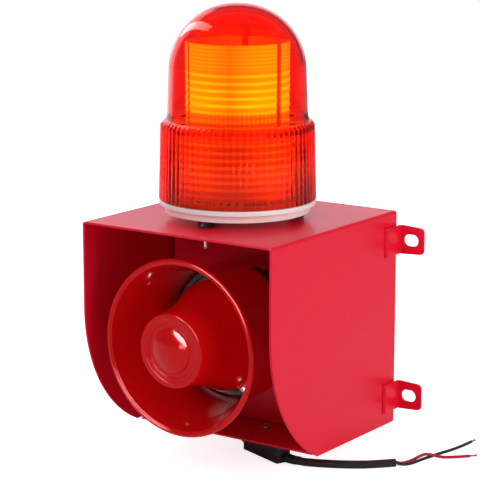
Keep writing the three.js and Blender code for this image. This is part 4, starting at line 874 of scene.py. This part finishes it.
cover_screws = []
for k in (1, 2, 3, 4):
    low, high = box_mm(f"cover_screw_{k}")
    cover_screws.append(((low.x + high.x) / 2, (low.z + high.z) / 2))
upright_sheet("partition_sheet", "partition_plate", [(0, HORN_Z, 3.4)])
upright_sheet("rear_cover_sheet", "rear_cover", [(x, z, 2.2) for x, z in cover_screws])
print("cover screws at", [(round(x), round(z)) for x, z in cover_screws])

# %% [markdown]
# ### Wall ears
# Each ear is a narrow strap. It hooks through its slit in the cheek, lies along the cheek and turns
# out flat against the wall, where a slot takes the screw. The left ears are mirror images.

# %% Ears
ear_low, ear_high = box_mm("wall_ear_upper_right")
STRAP = 1.5
EAR_SLOT_OFFSET = 9.7
EAR_SLOT = (11, 8)
EAR_CORNER = 3.0
ear_face = HOOD_WIDTH / 2 + AIR + STRAP / 2
wall_line = ear_high.y - STRAP / 2
hook_run = ear_face - ear_low.x - FOLD_RADIUS
side_run = wall_line - (FRONT + SLIT_Y) - 2 * FOLD_RADIUS
flange_reach = ear_high.x - ear_face - FOLD_RADIUS
ear_length = hook_run + side_run + flange_reach + 2 * fold_length


def ear_blank():
    half = EAR_RISE / 2
    tip_half = half - 0.7
    shoulder = ear_length - flange_reach + 2
    tip = ear_length
    outline = [(0.8, -half), (shoulder, -half),
               *arc((tip - EAR_CORNER, -tip_half + EAR_CORNER), EAR_CORNER, -90, 0, 6),
               *arc((tip - EAR_CORNER, tip_half - EAR_CORNER), EAR_CORNER, 0, 90, 6),
               (shoulder, half), (0.8, half), (0, half - 0.8), (0, -half + 0.8)]
    middle = ear_length - (ear_high.x - HOOD_WIDTH / 2 - EAR_SLOT_OFFSET)
    run = (EAR_SLOT[0] - EAR_SLOT[1]) / 2
    slot = [*arc((middle + run, 0), EAR_SLOT[1] / 2, -90, 90, 10),
            *arc((middle - run, 0), EAR_SLOT[1] / 2, 90, 270, 10)]
    return blank(outline, [slot], STRAP, edge=0.3)


for side, hand in ((1, "right"), (-1, "left")):
    for level, drop in zip(("upper", "lower"), EAR_DROPS):
        ear = folded(ear_blank(), (ear_low.x, FRONT + SLIT_Y), (1, 0),
                     [hook_run, (90, FOLD_RADIUS), side_run, (-90, FOLD_RADIUS), flange_reach])
        for vert in ear.verts:
            vert.co = (vert.co.x * side, vert.co.z, vert.co.y + ROOF - drop)
        piece(f"ear_{level}_{hand}", ear, "red_paint", f"wall_ear_{level}_{hand}")
print("ears at drops", [round(drop, 1) for drop in EAR_DROPS])

# %% [markdown]
# ### Screws
# A pan-head screw is a turned head and shank with the cross recess cut into the head. The thread is
# turned as close rings, which at this size look the same as a helix.

# %% Pan-head screws
def threaded(radius, top, bottom, pitch=0.7):
    """Profile points down a threaded shank."""
    points = []
    turns = int((top - bottom) / pitch)
    for k in range(turns):
        points += [(radius, top - k * pitch), (radius - 0.28, top - (k + 0.5) * pitch)]
    return [*points, (radius - 0.3, bottom + 0.3), (radius - 0.7, bottom)]


def difference(bm, cutter):
    """Cuts one closed bmesh with another."""
    meshes = []
    for source in (bm, cutter):
        bmesh.ops.remove_doubles(source, verts=source.verts, dist=1e-4)
        bmesh.ops.recalc_face_normals(source, faces=source.faces)
        mesh = bpy.data.meshes.new("cut")
        source.to_mesh(mesh)
        source.free()
        meshes.append(mesh)
    body, tool = link("cut_body", meshes[0]), link("cut_tool", meshes[1])
    modifier = body.modifiers.new("cut", "BOOLEAN")
    modifier.object = tool
    modifier.solver = "EXACT"
    result = bmesh.new()
    made = bpy.data.meshes.new_from_object(
        body.evaluated_get(bpy.context.evaluated_depsgraph_get()))
    result.from_mesh(made)
    for obj in (body, tool):
        bpy.data.objects.remove(obj)
    for mesh in (*meshes, made):
        bpy.data.meshes.remove(mesh)
    return result


def cross_recess(size, depth, top):
    """A tapering plus shape, to be cut out of a screw's head."""
    corners = []
    for quarter in range(4):
        turn = Matrix.Rotation(math.radians(90 * quarter), 2)
        corners += [turn @ Vector(spot) for spot in
                    ((size * 0.5, -size * 0.14), (size * 0.5, size * 0.14), (size * 0.14, size * 0.14))]
    cutter = bmesh.new()
    upper = [cutter.verts.new((spot.x, spot.y, top + 0.5)) for spot in corners]
    lower = [cutter.verts.new((spot.x * 0.45, spot.y * 0.45, top - depth)) for spot in corners]
    cutter.faces.new(upper)
    cutter.faces.new(reversed(lower))
    for k in range(-1, len(corners) - 1):
        cutter.faces.new((upper[k], lower[k], lower[k + 1], upper[k + 1]))
    return cutter


def pan_screw(radius, length, head_radius, head_height):
    """A screw along -Z with the underside of its head at 0."""
    profile = [(0, -length), *reversed(threaded(radius, -0.3, -length)), (radius, 0),
               (head_radius, 0, 0.2), (head_radius, head_height * 0.45, head_height * 0.5),
               (head_radius * 0.55, head_height, 1.2), (0, head_height)]
    body = turned(profile, 40)
    return difference(body, cross_recess(head_radius * 1.15, head_height * 0.75, head_height))


SCREW_HEAD = {"cover": (1.8, 8, 3.5, 2.0), "lug": (1.5, 9, 2.8, 1.8), "module": (1.5, 12, 3.0, 2.0)}
for k, (x, z) in enumerate(cover_screws, 1):
    place = (Matrix.Translation((x, FRONT + HOOD_DEPTH + AIR, z))
             @ Matrix.Rotation(math.radians(-90), 4, "X") @ Matrix.Rotation(0.5 * k, 4, "Z"))
    piece(f"cover_pan_screw_{k}", pan_screw(*SCREW_HEAD["cover"]), "zinc_steel",
          f"cover_screw_{k}", place=place, angle=35)
print("four cover screws")

# %% [markdown]
# ## The horn
# A reflex horn: sound comes forward through a throat, turns back inside the reflector and leaves
# through the bell. The bell's lip is a rolled double bead, and the reflector's face is stepped
# rings round a glossy dome. Everything here is turned about the horn's axis, which faces forward.

# %% Horn bell
HORN = (Matrix.Translation((0, RIM_Y, HORN_Z)) @ Matrix.Rotation(math.radians(90), 4, "X"))
RIM_RADIUS = (bell_high.x - bell_low.x) / 2
BELL_DEPTH = 57.0
BELL_BACK = 2.5
WAIST = 44.0
BELL_WALL = 2.2
MOUTH = RIM_RADIUS - 2 * BEAD - 0.7


def bell_line(steps=22):
    """The inside of the bell from its mouth to its waist, as (radius, height) points."""
    return [(WAIST + (MOUTH - WAIST) * (1 - k / steps) ** 2.2, -BELL_DEPTH * k / steps)
            for k in range(steps + 1)]


bell_inside = bell_line()
bell_outside = [(radius + BELL_WALL, z) for radius, z in bell_inside[2:-1]]
lip = [*arc((MOUTH + 0.9, -0.1), 1.0, 175, 20, 7),
       *arc((RIM_RADIUS - BEAD - 0.1, -0.1), BEAD, 140, -100, 12)]
bell_profile = [*reversed(bell_inside[1:-1]), *lip, (RIM_RADIUS - 2.2, -2.6, 0.5), *bell_outside,
                (WAIST + BELL_WALL, -BELL_DEPTH - BELL_BACK, 1.0),
                (16, -BELL_DEPTH - BELL_BACK, 0.3), (16, -BELL_DEPTH, 0.3),
                (WAIST, -BELL_DEPTH, 1.5)]
piece("horn_bell_moulding", turned(bell_profile, 160), "red_plastic", "horn_bell", place=HORN,
      angle=40)
print("bell mouth", round(2 * MOUTH), "mm")

# %% Reflector with its three lugs
FACE_RADIUS = 24.5
FACE_PROUD = 9.0
DOME_RADIUS = 14.0
DOME_RISE = 3.0
SKIRT_RADIUS = 37.0
SKIRT_DEPTH = 41.0
REFLECTOR_WALL = 1.8
LUG_ANGLES = (-53, 67, 187)
LUG_RADIUS = 40.0
LUG_THICKNESS = 3.0


def skirt_line(steps=20):
    run = SKIRT_DEPTH + FACE_PROUD
    return [(FACE_RADIUS + (SKIRT_RADIUS - FACE_RADIUS) * (k / steps) ** 1.7,
             FACE_PROUD - run * k / steps) for k in range(steps + 1)]


dome = [(DOME_RADIUS * k / 10, FACE_PROUD + DOME_RISE * (1 - (k / 10) ** 2)) for k in range(11)]
skirt = skirt_line()
inner_skirt = [(radius - REFLECTOR_WALL, z) for radius, z in reversed(skirt[2:])]
reflector_profile = [
    *dome, (DOME_RADIUS + 0.8, FACE_PROUD - 1.3, 0.4), (DOME_RADIUS + 3.6, FACE_PROUD - 1.3, 0.4),
    (DOME_RADIUS + 4.2, FACE_PROUD - 0.5, 0.3), (DOME_RADIUS + 6.2, FACE_PROUD - 0.5, 0.3),
    (DOME_RADIUS + 6.8, FACE_PROUD, 0.3), (FACE_RADIUS - 0.6, FACE_PROUD, 0.7),
    *skirt[1:], *inner_skirt,
    (FACE_RADIUS - REFLECTOR_WALL, FACE_PROUD - 3, 1.0), (0, FACE_PROUD - 3)]
reflector = turned(reflector_profile, 128)
lugs = []
for angle in LUG_ANGLES:
    inner = SKIRT_RADIUS - REFLECTOR_WALL * 0.6
    lug = blank([(inner, -4.6), (SKIRT_RADIUS + 0.6, -4.2), *arc((LUG_RADIUS, 0), 3.8, -80, 80, 12),
                 (SKIRT_RADIUS + 0.6, 4.2), (inner, 4.6)],
                [circle((LUG_RADIUS, 0), 1.8, 20)], LUG_THICKNESS, edge=0.5)
    moved(lug, Matrix.Translation((0, 0, -SKIRT_DEPTH + LUG_THICKNESS / 2)))
    lugs.append(moved(lug, Matrix.Rotation(math.radians(angle), 4, "Z")))
piece("reflector_moulding", merged(reflector, *lugs), "red_plastic", "horn_reflector",
      place=HORN, angle=32)
for k, angle in enumerate(LUG_ANGLES, 1):
    spot = Matrix.Rotation(math.radians(angle), 4, "Z") @ Vector((LUG_RADIUS, 0, 0))
    seat = Matrix.Translation((spot.x, spot.y, -SKIRT_DEPTH + LUG_THICKNESS + AIR))
    piece(f"lug_screw_{k}", pan_screw(*SCREW_HEAD["lug"]), "zinc_steel", f"reflector_screw_{k}",
          place=HORN @ seat @ Matrix.Rotation(0.7 * k, 4, "Z"), angle=35)
print("reflector with", len(LUG_ANGLES), "lugs")

# %% Spider and throat behind it
SPIDER_THICKNESS = 3.2
SPIDER_FRONT = -(BELL_DEPTH - AIR - SPIDER_THICKNESS)
spider_back = SPIDER_FRONT - SPIDER_THICKNESS
spider_profile = [(11, spider_back, 0.3), (WAIST - 0.8, spider_back, 0.3),
                  (WAIST - 0.8, SPIDER_FRONT, 0.6), (WAIST - 4, SPIDER_FRONT, 0.5),
                  (WAIST - 4.6, SPIDER_FRONT - 0.8, 0.4), (26, SPIDER_FRONT - 0.8, 0.4),
                  (25.4, SPIDER_FRONT, 0.4), (11, SPIDER_FRONT, 0.3)]
posts = []
for angle in LUG_ANGLES:
    post = turned([(1.8, SPIDER_FRONT - 1), (3.8, SPIDER_FRONT - 1), (3.8, SPIDER_FRONT, 0.8),
                   (3.3, SPIDER_FRONT + 2, 1.0), (3.3, -SKIRT_DEPTH - AIR, 0.3),
                   (1.8, -SKIRT_DEPTH - AIR, 0.3)], 28)
    turn = Matrix.Rotation(math.radians(angle), 4, "Z")
    posts.append(moved(post, turn @ Matrix.Translation((LUG_RADIUS, 0, 0))))
ribs = []
for k in range(12):
    rib = bmesh.new()
    bmesh.ops.create_cube(rib, size=1)
    for vert in rib.verts:
        vert.co = (vert.co.x * 12 + 33, vert.co.y * 1.1, SPIDER_FRONT - 0.4 + vert.co.z * 1.0)
    bmesh.ops.bevel(rib, geom=rib.edges[:], offset=0.2, segments=2, profile=0.5, affect="EDGES")
    ribs.append(moved(rib, Matrix.Rotation(math.radians(30 * k + 7), 4, "Z")))
piece("spider_moulding", merged(turned(spider_profile, 96), *posts, *ribs), "black_plastic",
      "horn_spider", place=HORN)
THROAT_LENGTH = 49
throat_back = SPIDER_FRONT + AIR
throat_mouth = throat_back + THROAT_LENGTH
throat_line = [(12.5 + 6.5 * (k / 14) ** 1.5, throat_back + THROAT_LENGTH * k / 14) for k in range(15)]
throat_profile = [(11, throat_back, 0.2), (20, throat_back, 0.3), (20, throat_back + 2.2, 0.6),
                  (12.9, throat_back + 2.2, 1.2), *throat_line[2:-1], (19, throat_mouth, 0.6),
                  (17.5, throat_mouth, 0.6),
                  *[(radius - 1.5, z) for radius, z in reversed(throat_line[1:-1])]]
piece("throat_moulding", turned(throat_profile, 80), "black_plastic", "horn_throat", place=HORN)
print("spider with", len(posts), "posts and", len(ribs), "ribs")

# %% [markdown]
# ## The beacon
# The beacon stands on three rubber feet and three long screws. Its base is a moulded ring with two
# steps, and the clear dome drops over a spigot on the base. Inside, a motor turns a drum of three
# ribbed amber panels round a post of lamps. Everything is turned about the beacon's upright axis.

# %% Feet, long screws and base
BEACON = Matrix.Translation((0, BEACON_Y, ROOF))
LENS_FOOT_RADIUS = (lens_high.x - lens_low.x) / 2
LENS_FOOT = lens_low.z - ROOF
LENS_TOP = lens_high.z - ROOF
base_low, base_high = box_mm("beacon_base")
BASE_RADIUS = (base_high.x - base_low.x) / 2
BASE_FOOT = base_low.z - ROOF
BASE_STEP_IN = 3.8
BASE_STEP = BASE_FOOT + 4.8
BASE_TOP = BASE_STEP + 3.4
BASE_FLOOR_TOP = BASE_FOOT + 3.0
SPIGOT_RADIUS = LENS_FOOT_RADIUS - 3.5
screw_low = box_mm("base_screw_1")[0].z - ROOF
base_ring = turned([
    (5, BASE_FOOT, 0.4), (BASE_RADIUS - BASE_STEP_IN, BASE_FOOT, 0.7),
    (BASE_RADIUS - BASE_STEP_IN, BASE_STEP, 0.5), (BASE_RADIUS, BASE_STEP, 0.6),
    (BASE_RADIUS, BASE_TOP, 0.8), (SPIGOT_RADIUS, BASE_TOP, 0.3),
    (SPIGOT_RADIUS, BASE_TOP + 3, 0.4), (SPIGOT_RADIUS - 1.6, BASE_TOP + 3, 0.4),
    (BASE_RADIUS - BASE_STEP_IN - 3, BASE_FLOOR_TOP, 0.8), (5, BASE_FLOOR_TOP, 0.4)], 144)
screw_holes = []
for spot in foot_places:
    hole = turned([(0, BASE_FOOT - 2), (SCREW_CLEARANCE, BASE_FOOT - 2),
                   (SCREW_CLEARANCE, BASE_TOP + 2), (0, BASE_TOP + 2)], 20)
    screw_holes.append(moved(hole, Matrix.Translation((spot.x, spot.y - BEACON_Y, 0))))
piece("base_moulding", difference(base_ring, merged(*screw_holes)), "cream_plastic",
      "beacon_base", place=BEACON, angle=35)
for k, spot in enumerate(foot_places, 1):
    place = Matrix.Translation(spot)
    foot = turned([(2.2, AIR, 0.3), (5.5, AIR, 0.7), (5.3, 4.7, 0.5), (2.2, 4.7, 0.3)], 48)
    piece(f"rubber_foot_{k}", foot, "black_rubber", f"base_foot_{k}", place=place)
    long_screw = pan_screw(1.9, BASE_FLOOR_TOP + AIR - screw_low, 3.4, 2.2)
    moved(long_screw, Matrix.Translation((0, 0, BASE_FLOOR_TOP + AIR)))
    nut = blank(circle((0, 0), 3.5 / math.cos(math.radians(30)), 6), [circle((0, 0), 1.95, 20)],
                3.0, edge=0.4)
    moved(nut, Matrix.Translation((0, 0, -SHEET - AIR - 1.5)) @ Matrix.Rotation(0.4 * k, 4, "Z"))
    piece(f"long_screw_{k}", merged(long_screw, nut), "zinc_steel", f"base_screw_{k}",
          place=place, angle=35)
print("base ring", round(2 * BASE_RADIUS, 1), "mm across")

# %% [markdown]
# ### The dome
# The dome's foot is a collar with upright flutes outside and a smooth wall inside, so each flute
# works as a small lens. Above it the wall is plain and the crown is nearly a half ball. The flutes
# are a ripple in the turned piece's radius.

# %% Clear dome
LENS_WALL = 2.5
COLLAR_TOP_RADIUS = 50.2
COLLAR_TOP = LENS_FOOT + 50.5
DOME_FOOT_RADIUS = 45.6
SHOULDER_RADIUS = 44.5
SHOULDER = LENS_FOOT + 82.5
CROWN_FULLNESS = 0.95
FLUTES = 72
FLUTE_DEPTH = 0.85


def crown(radius, top, bottom, steps=30):
    """The outline of a crown from its shoulder to the axis."""
    points = []
    for k in range(1, steps + 1):
        lift = math.radians(90 * k / steps)
        points.append((radius * max(math.cos(lift), 0.0) ** CROWN_FULLNESS,
                       bottom + (top - bottom) * math.sin(lift)))
    points[-1] = (0, top)
    return points


DOME_FOOT = LENS_FOOT + 56
lens_outside = [(LENS_FOOT_RADIUS, LENS_FOOT, 0.5), (COLLAR_TOP_RADIUS, COLLAR_TOP - 2, 0.8),
                (COLLAR_TOP_RADIUS - 1.6, COLLAR_TOP, 0.8), (DOME_FOOT_RADIUS + 0.8, COLLAR_TOP + 1, 0.9),
                (DOME_FOOT_RADIUS, DOME_FOOT, 4.0), (SHOULDER_RADIUS, SHOULDER),
                *crown(SHOULDER_RADIUS, LENS_TOP, SHOULDER)]
lens_inside_wall = [(0, LENS_TOP - LENS_WALL),
                    *reversed(crown(SHOULDER_RADIUS - LENS_WALL, LENS_TOP - LENS_WALL, SHOULDER)[:-1]),
                    (SHOULDER_RADIUS - LENS_WALL, SHOULDER),
                    (DOME_FOOT_RADIUS - LENS_WALL, DOME_FOOT, 4.0),
                    (COLLAR_TOP_RADIUS - LENS_WALL - 1.5, COLLAR_TOP - 1, 1.0),
                    (COLLAR_TOP_RADIUS - LENS_WALL, COLLAR_TOP - 5, 2.0),
                    (LENS_FOOT_RADIUS - LENS_WALL, LENS_FOOT, 0.4)]


def collar_edge(height):
    """How far out the collar's outside is at a height."""
    share = min(max((height - LENS_FOOT) / (COLLAR_TOP - 2 - LENS_FOOT), 0), 1)
    straight = LENS_FOOT_RADIUS + (COLLAR_TOP_RADIUS - LENS_FOOT_RADIUS) * share
    return straight - max(height - (COLLAR_TOP - 2), 0) * 0.8


def fluted(angle, radius, height):
    if height > COLLAR_TOP + 0.6 or radius < collar_edge(height) - 1.2:
        return radius
    return radius - FLUTE_DEPTH * (1 - abs(math.cos(FLUTES / 2 * angle)))


lens_profile = [*lens_outside, *lens_inside_wall]
piece("clear_dome", turned(lens_profile, 6 * FLUTES, ripple=fluted), "red_lens", "beacon_lens",
      place=BEACON, angle=35)
print("dome", round(LENS_TOP), "mm above the roof, with", FLUTES, "flutes")

# %% [markdown]
# ### The turning drum
# Each panel's outside is a stack of fine horizontal ribs, coarse on the wide tier and finer at the
# top, as a lens for a warning lamp has. Three panels with open slots between them make the flash.

# %% Drum panels
panel_low, panel_high = box_mm("lens_panel_1")
PANEL_FOOT = panel_low.z - ROOF
PANEL_TOP = panel_high.z - ROOF
WIDE = COLLAR_TOP_RADIUS - LENS_WALL - 1.5
SLIM = 34.0
PANEL_WALL = 2.0
LEDGE = TIER_SPLIT - ROOF + 0.1
PANEL_SWEEP = 111
RIB_DEPTH = 0.7
WIDE_PITCH = 5.0


def ribbed(radius, bottom, top, pitch, depth=RIB_DEPTH):
    """An outside wall with horizontal ribs, as (radius, height) points going up."""
    points = []
    steps = round((top - bottom) / (pitch / 6))
    for k in range(steps + 1):
        z = bottom + (top - bottom) * k / steps
        wave = 0.5 - 0.5 * math.cos(math.tau * z / pitch)
        points.append((radius - depth * wave ** 0.6, z))
    return points


def panel_profile():
    return [*ribbed(WIDE, PANEL_FOOT, LEDGE + 1.6, WIDE_PITCH),
            (WIDE - 0.5, LEDGE + PANEL_WALL), (SLIM + 0.4, LEDGE + PANEL_WALL),
            *ribbed(SLIM, LEDGE + PANEL_WALL + 0.5, LEDGE + 33, COARSE_PITCH),
            *ribbed(SLIM, LEDGE + 33.6, PANEL_TOP - 0.6, FINE_PITCH, 0.45),
            (SLIM - 0.6, PANEL_TOP), (SLIM - PANEL_WALL, PANEL_TOP),
            (SLIM - PANEL_WALL, LEDGE), (WIDE - PANEL_WALL, LEDGE), (WIDE - PANEL_WALL, PANEL_FOOT)]


for k in range(3):
    middle = FIRST_PANEL + 120 * k
    span = (middle - PANEL_SWEEP / 2, middle + PANEL_SWEEP / 2)
    piece(f"amber_panel_{k + 1}", turned(panel_profile(), 74, span), "amber_lens",
          f"lens_panel_{k + 1}", body="beacon_rotor", place=BEACON, angle=40)
print("drum from", round(PANEL_FOOT, 1), "to", round(PANEL_TOP, 1), "mm above the roof")

# %% [markdown]
# ## Below the floor
# A small control module hangs under the hood's floor on one screw. A lead leaves its nut and goes
# up through a rubber grommet, and the cable leaves its other end through a tapered strain relief.

# %% Module
MODULE_TURN = -20.7
MODULE_LENGTH = 40.0
MODULE_DEPTH = 11.4
MODULE_LID = 1.5
MODULE_CORNER = 1.3
case_low = box_mm("module_case")[0]
lid_high = box_mm("module_lid")[1]
MODULE_HEIGHT = lid_high.z - case_low.z
module_place = (Matrix.Translation((MODULE.x, MODULE.y, lid_high.z))
                @ Matrix.Rotation(math.radians(MODULE_TURN), 4, "Z"))


def soft_corners(length, depth, radius):
    x, y = length / 2 - radius, depth / 2 - radius
    return [*arc((x, -y), radius, -90, 0, 6), *arc((x, y), radius, 0, 90, 6),
            *arc((-x, y), radius, 90, 180, 6), *arc((-x, -y), radius, 180, 270, 6)]


case_height = MODULE_HEIGHT - MODULE_LID - AIR
case = blank(soft_corners(MODULE_LENGTH, MODULE_DEPTH, MODULE_CORNER), [], case_height, edge=0.5)
piece("module_box", moved(case, Matrix.Translation((0, 0, -MODULE_HEIGHT + case_height / 2))),
      "black_plastic", "module_case", place=module_place)
lid = blank(soft_corners(MODULE_LENGTH, MODULE_DEPTH, MODULE_CORNER), [circle((0, 0), 1.8)], MODULE_LID,
            edge=0.35)
piece("module_cover", moved(lid, Matrix.Translation((0, 0, -MODULE_LID / 2))), "black_plastic",
      "module_lid", place=module_place)
screw_seat = module_place @ Matrix.Translation((0, 0, SHEET + 2 * AIR))
piece("floor_screw", pan_screw(*SCREW_HEAD["module"]), "zinc_steel", "module_screw",
      place=screw_seat, angle=35)
NUT_RADIUS = 5.4
NUT_LENGTH = 5.0
NUT_DROP = 10.2


def knurled(angle, radius, height):
    if radius < NUT_RADIUS - 0.9:
        return radius
    return radius - 0.45 * (0.5 - 0.5 * math.cos(12 * angle))


LEAD_HOLE = 2.7
nut = turned([(LEAD_HOLE, 0, 0.2), (NUT_RADIUS, 0, 0.5), (NUT_RADIUS, NUT_LENGTH * 0.6, 0.8),
              (NUT_RADIUS - 1.2, NUT_LENGTH, 0.8), (LEAD_HOLE, NUT_LENGTH, 0.4)], 96, ripple=knurled)
nut_place = (module_place @ Matrix.Translation((-MODULE_LENGTH / 2 - AIR, 0, -NUT_DROP))
             @ Matrix.Rotation(math.radians(-90), 4, "Y"))
piece("lead_nut", nut, "white_plastic", "module_nut", place=nut_place, angle=35)
print("module", MODULE_LENGTH, "x", MODULE_DEPTH, "x", round(MODULE_HEIGHT, 1), "mm")

# %% Grommet and lead
LEAD_RADIUS = 2.6
grommet_profile = [(3.2, -1.5, 0.4), (6.5, -1.5, 0.5), (6.5, -0.3, 0.5), (4.6, -0.3, 0.1),
                   (4.6, 1.8, 0.1), (6.5, 1.8, 0.5), (6.5, 3.0, 0.5), (3.2, 3.0, 0.4)]
piece("rubber_grommet", turned(grommet_profile, 48), "black_rubber", "floor_grommet",
      place=Matrix.Translation((GROMMET.x, GROMMET.y, ROOF - HOOD_HEIGHT)))
turn = math.radians(MODULE_TURN)
lead_low = ROOF - HOOD_HEIGHT - NUT_DROP


def behind_module(distance):
    return Vector((MODULE.x - distance * math.cos(turn), MODULE.y - distance * math.sin(turn), 0))


lead_exit = MODULE_LENGTH / 2 + NUT_LENGTH + 2 * AIR
lead_bend = behind_module(lead_exit + 6)
floor_under = ROOF - HOOD_HEIGHT
lead_route = [behind_module(lead_exit) + Vector((0, 0, lead_low)),
              lead_bend + Vector((0, 0, lead_low + 0.8)),
              Vector(((lead_bend.x + GROMMET.x) / 2 - 2, (lead_bend.y + GROMMET.y) / 2 + 1,
                      lead_low + 3)),
              *[Vector((GROMMET.x, GROMMET.y, floor_under + lift)) for lift in (-3.5, 0, 4, 10)]]
lead = cord_curve("lead_tube", [smooth_line(lead_route)], LEAD_RADIUS)
fit(lead, "black_rubber", "module_lead")
print("lead", round(line_length(smooth_line(lead_route))), "mm")


# %% Tapered strain relief
def sleeve(line, outside, inside, sides=32):
    """A hollow sleeve along a line. `outside` gives its radius at a share of its length."""
    bm = bmesh.new()
    rings = []
    for i, place in enumerate(line):
        ahead = (line[min(i + 1, len(line) - 1)] - line[max(i - 1, 0)]).normalized()
        across = ahead.cross(Vector((0, 0, 1))).normalized()
        up = across.cross(ahead)
        pair = []
        for radius in (outside(i / (len(line) - 1)), inside):
            pair.append([bm.verts.new(place + across * radius * math.cos(math.tau * k / sides)
                                      + up * radius * math.sin(math.tau * k / sides))
                         for k in range(sides)])
        rings.append(pair)
    for k in range(sides):
        j = (k + 1) % sides
        for one, two in zip(rings, rings[1:]):
            bm.faces.new((one[0][k], two[0][k], two[0][j], one[0][j]))
            bm.faces.new((one[1][k], one[1][j], two[1][j], two[1][k]))
        first, last = rings[0], rings[-1]
        bm.faces.new((first[0][k], first[0][j], first[1][j], first[1][k]))
        bm.faces.new((last[0][k], last[1][k], last[1][j], last[0][j]))
    return bm


def relief_outside(share):
    groove = 0.22 if 0.15 < share < 0.9 and (share * 9) % 1 > 0.6 else 0.0
    return 3.3 - 0.42 * share - groove


relief_line = smooth_line(lying(RELIEF_ROUTE), step=0.2)
relief = piece("relief_sleeve", sleeve(relief_line, relief_outside, CABLE_RADIUS + 0.02),
               "black_rubber", "strain_relief", angle=50)
print("relief", round(line_length(relief_line), 1), "mm")

# %% The cards in front light only the horn, the hood with its ears, and the screws by them
for obj in bpy.data.objects:
    if obj.name.startswith(("horn_bell_", "reflector_m", "spider_", "lug_screw", "long_screw", "ear_",
                            "hood_s")):
        horn_only.objects.link(obj)

# %% [markdown]
# ## Finishes for the parts that keep their working shape
# The hidden pieces already have their true shape, so each keeps it and only gets a small bevel on
# its edges and the finish that its material calls for.

# %% Working parts
slot_of = {part["node"]: part["material_slot"] for part in frame["record"]["subparts"]}
shown = set()
for name, part in frame["nodes"].items():
    if part.hide_render:
        continue
    slot = slot_of[name]
    part.data.materials.clear()
    part.data.materials.append(FINISH[slot])
    soften = part.modifiers.new("soft_edges", "BEVEL")
    soften.width = 0.25 * MM
    soften.segments = 2
    soften.limit_method = "ANGLE"
    soften.angle_limit = math.radians(40)
    shown.add(name)
print(len(shown), "working parts:", ", ".join(sorted(shown)))

# %% Cords
cord_facts = [
    (cable, "black_pvc", "cable_sheath", cable_line, CABLE_RADIUS, [relief]),
    (red_wire_jacket, "red_pvc", "red_wire", red_line, WIRE_RADIUS, [red_strands]),
    (black_wire_jacket, "black_pvc", "black_wire", black_line, WIRE_RADIUS, [black_strands])]
fit(red_strands, "bare_copper", "red_wire_end")
fit(black_strands, "bare_copper", "black_wire_end")
for cord, slot, stand_in, line, radius, companions in cord_facts:
    fit(cord, slot, stand_in)
print("cords declared:", len(cord_facts))
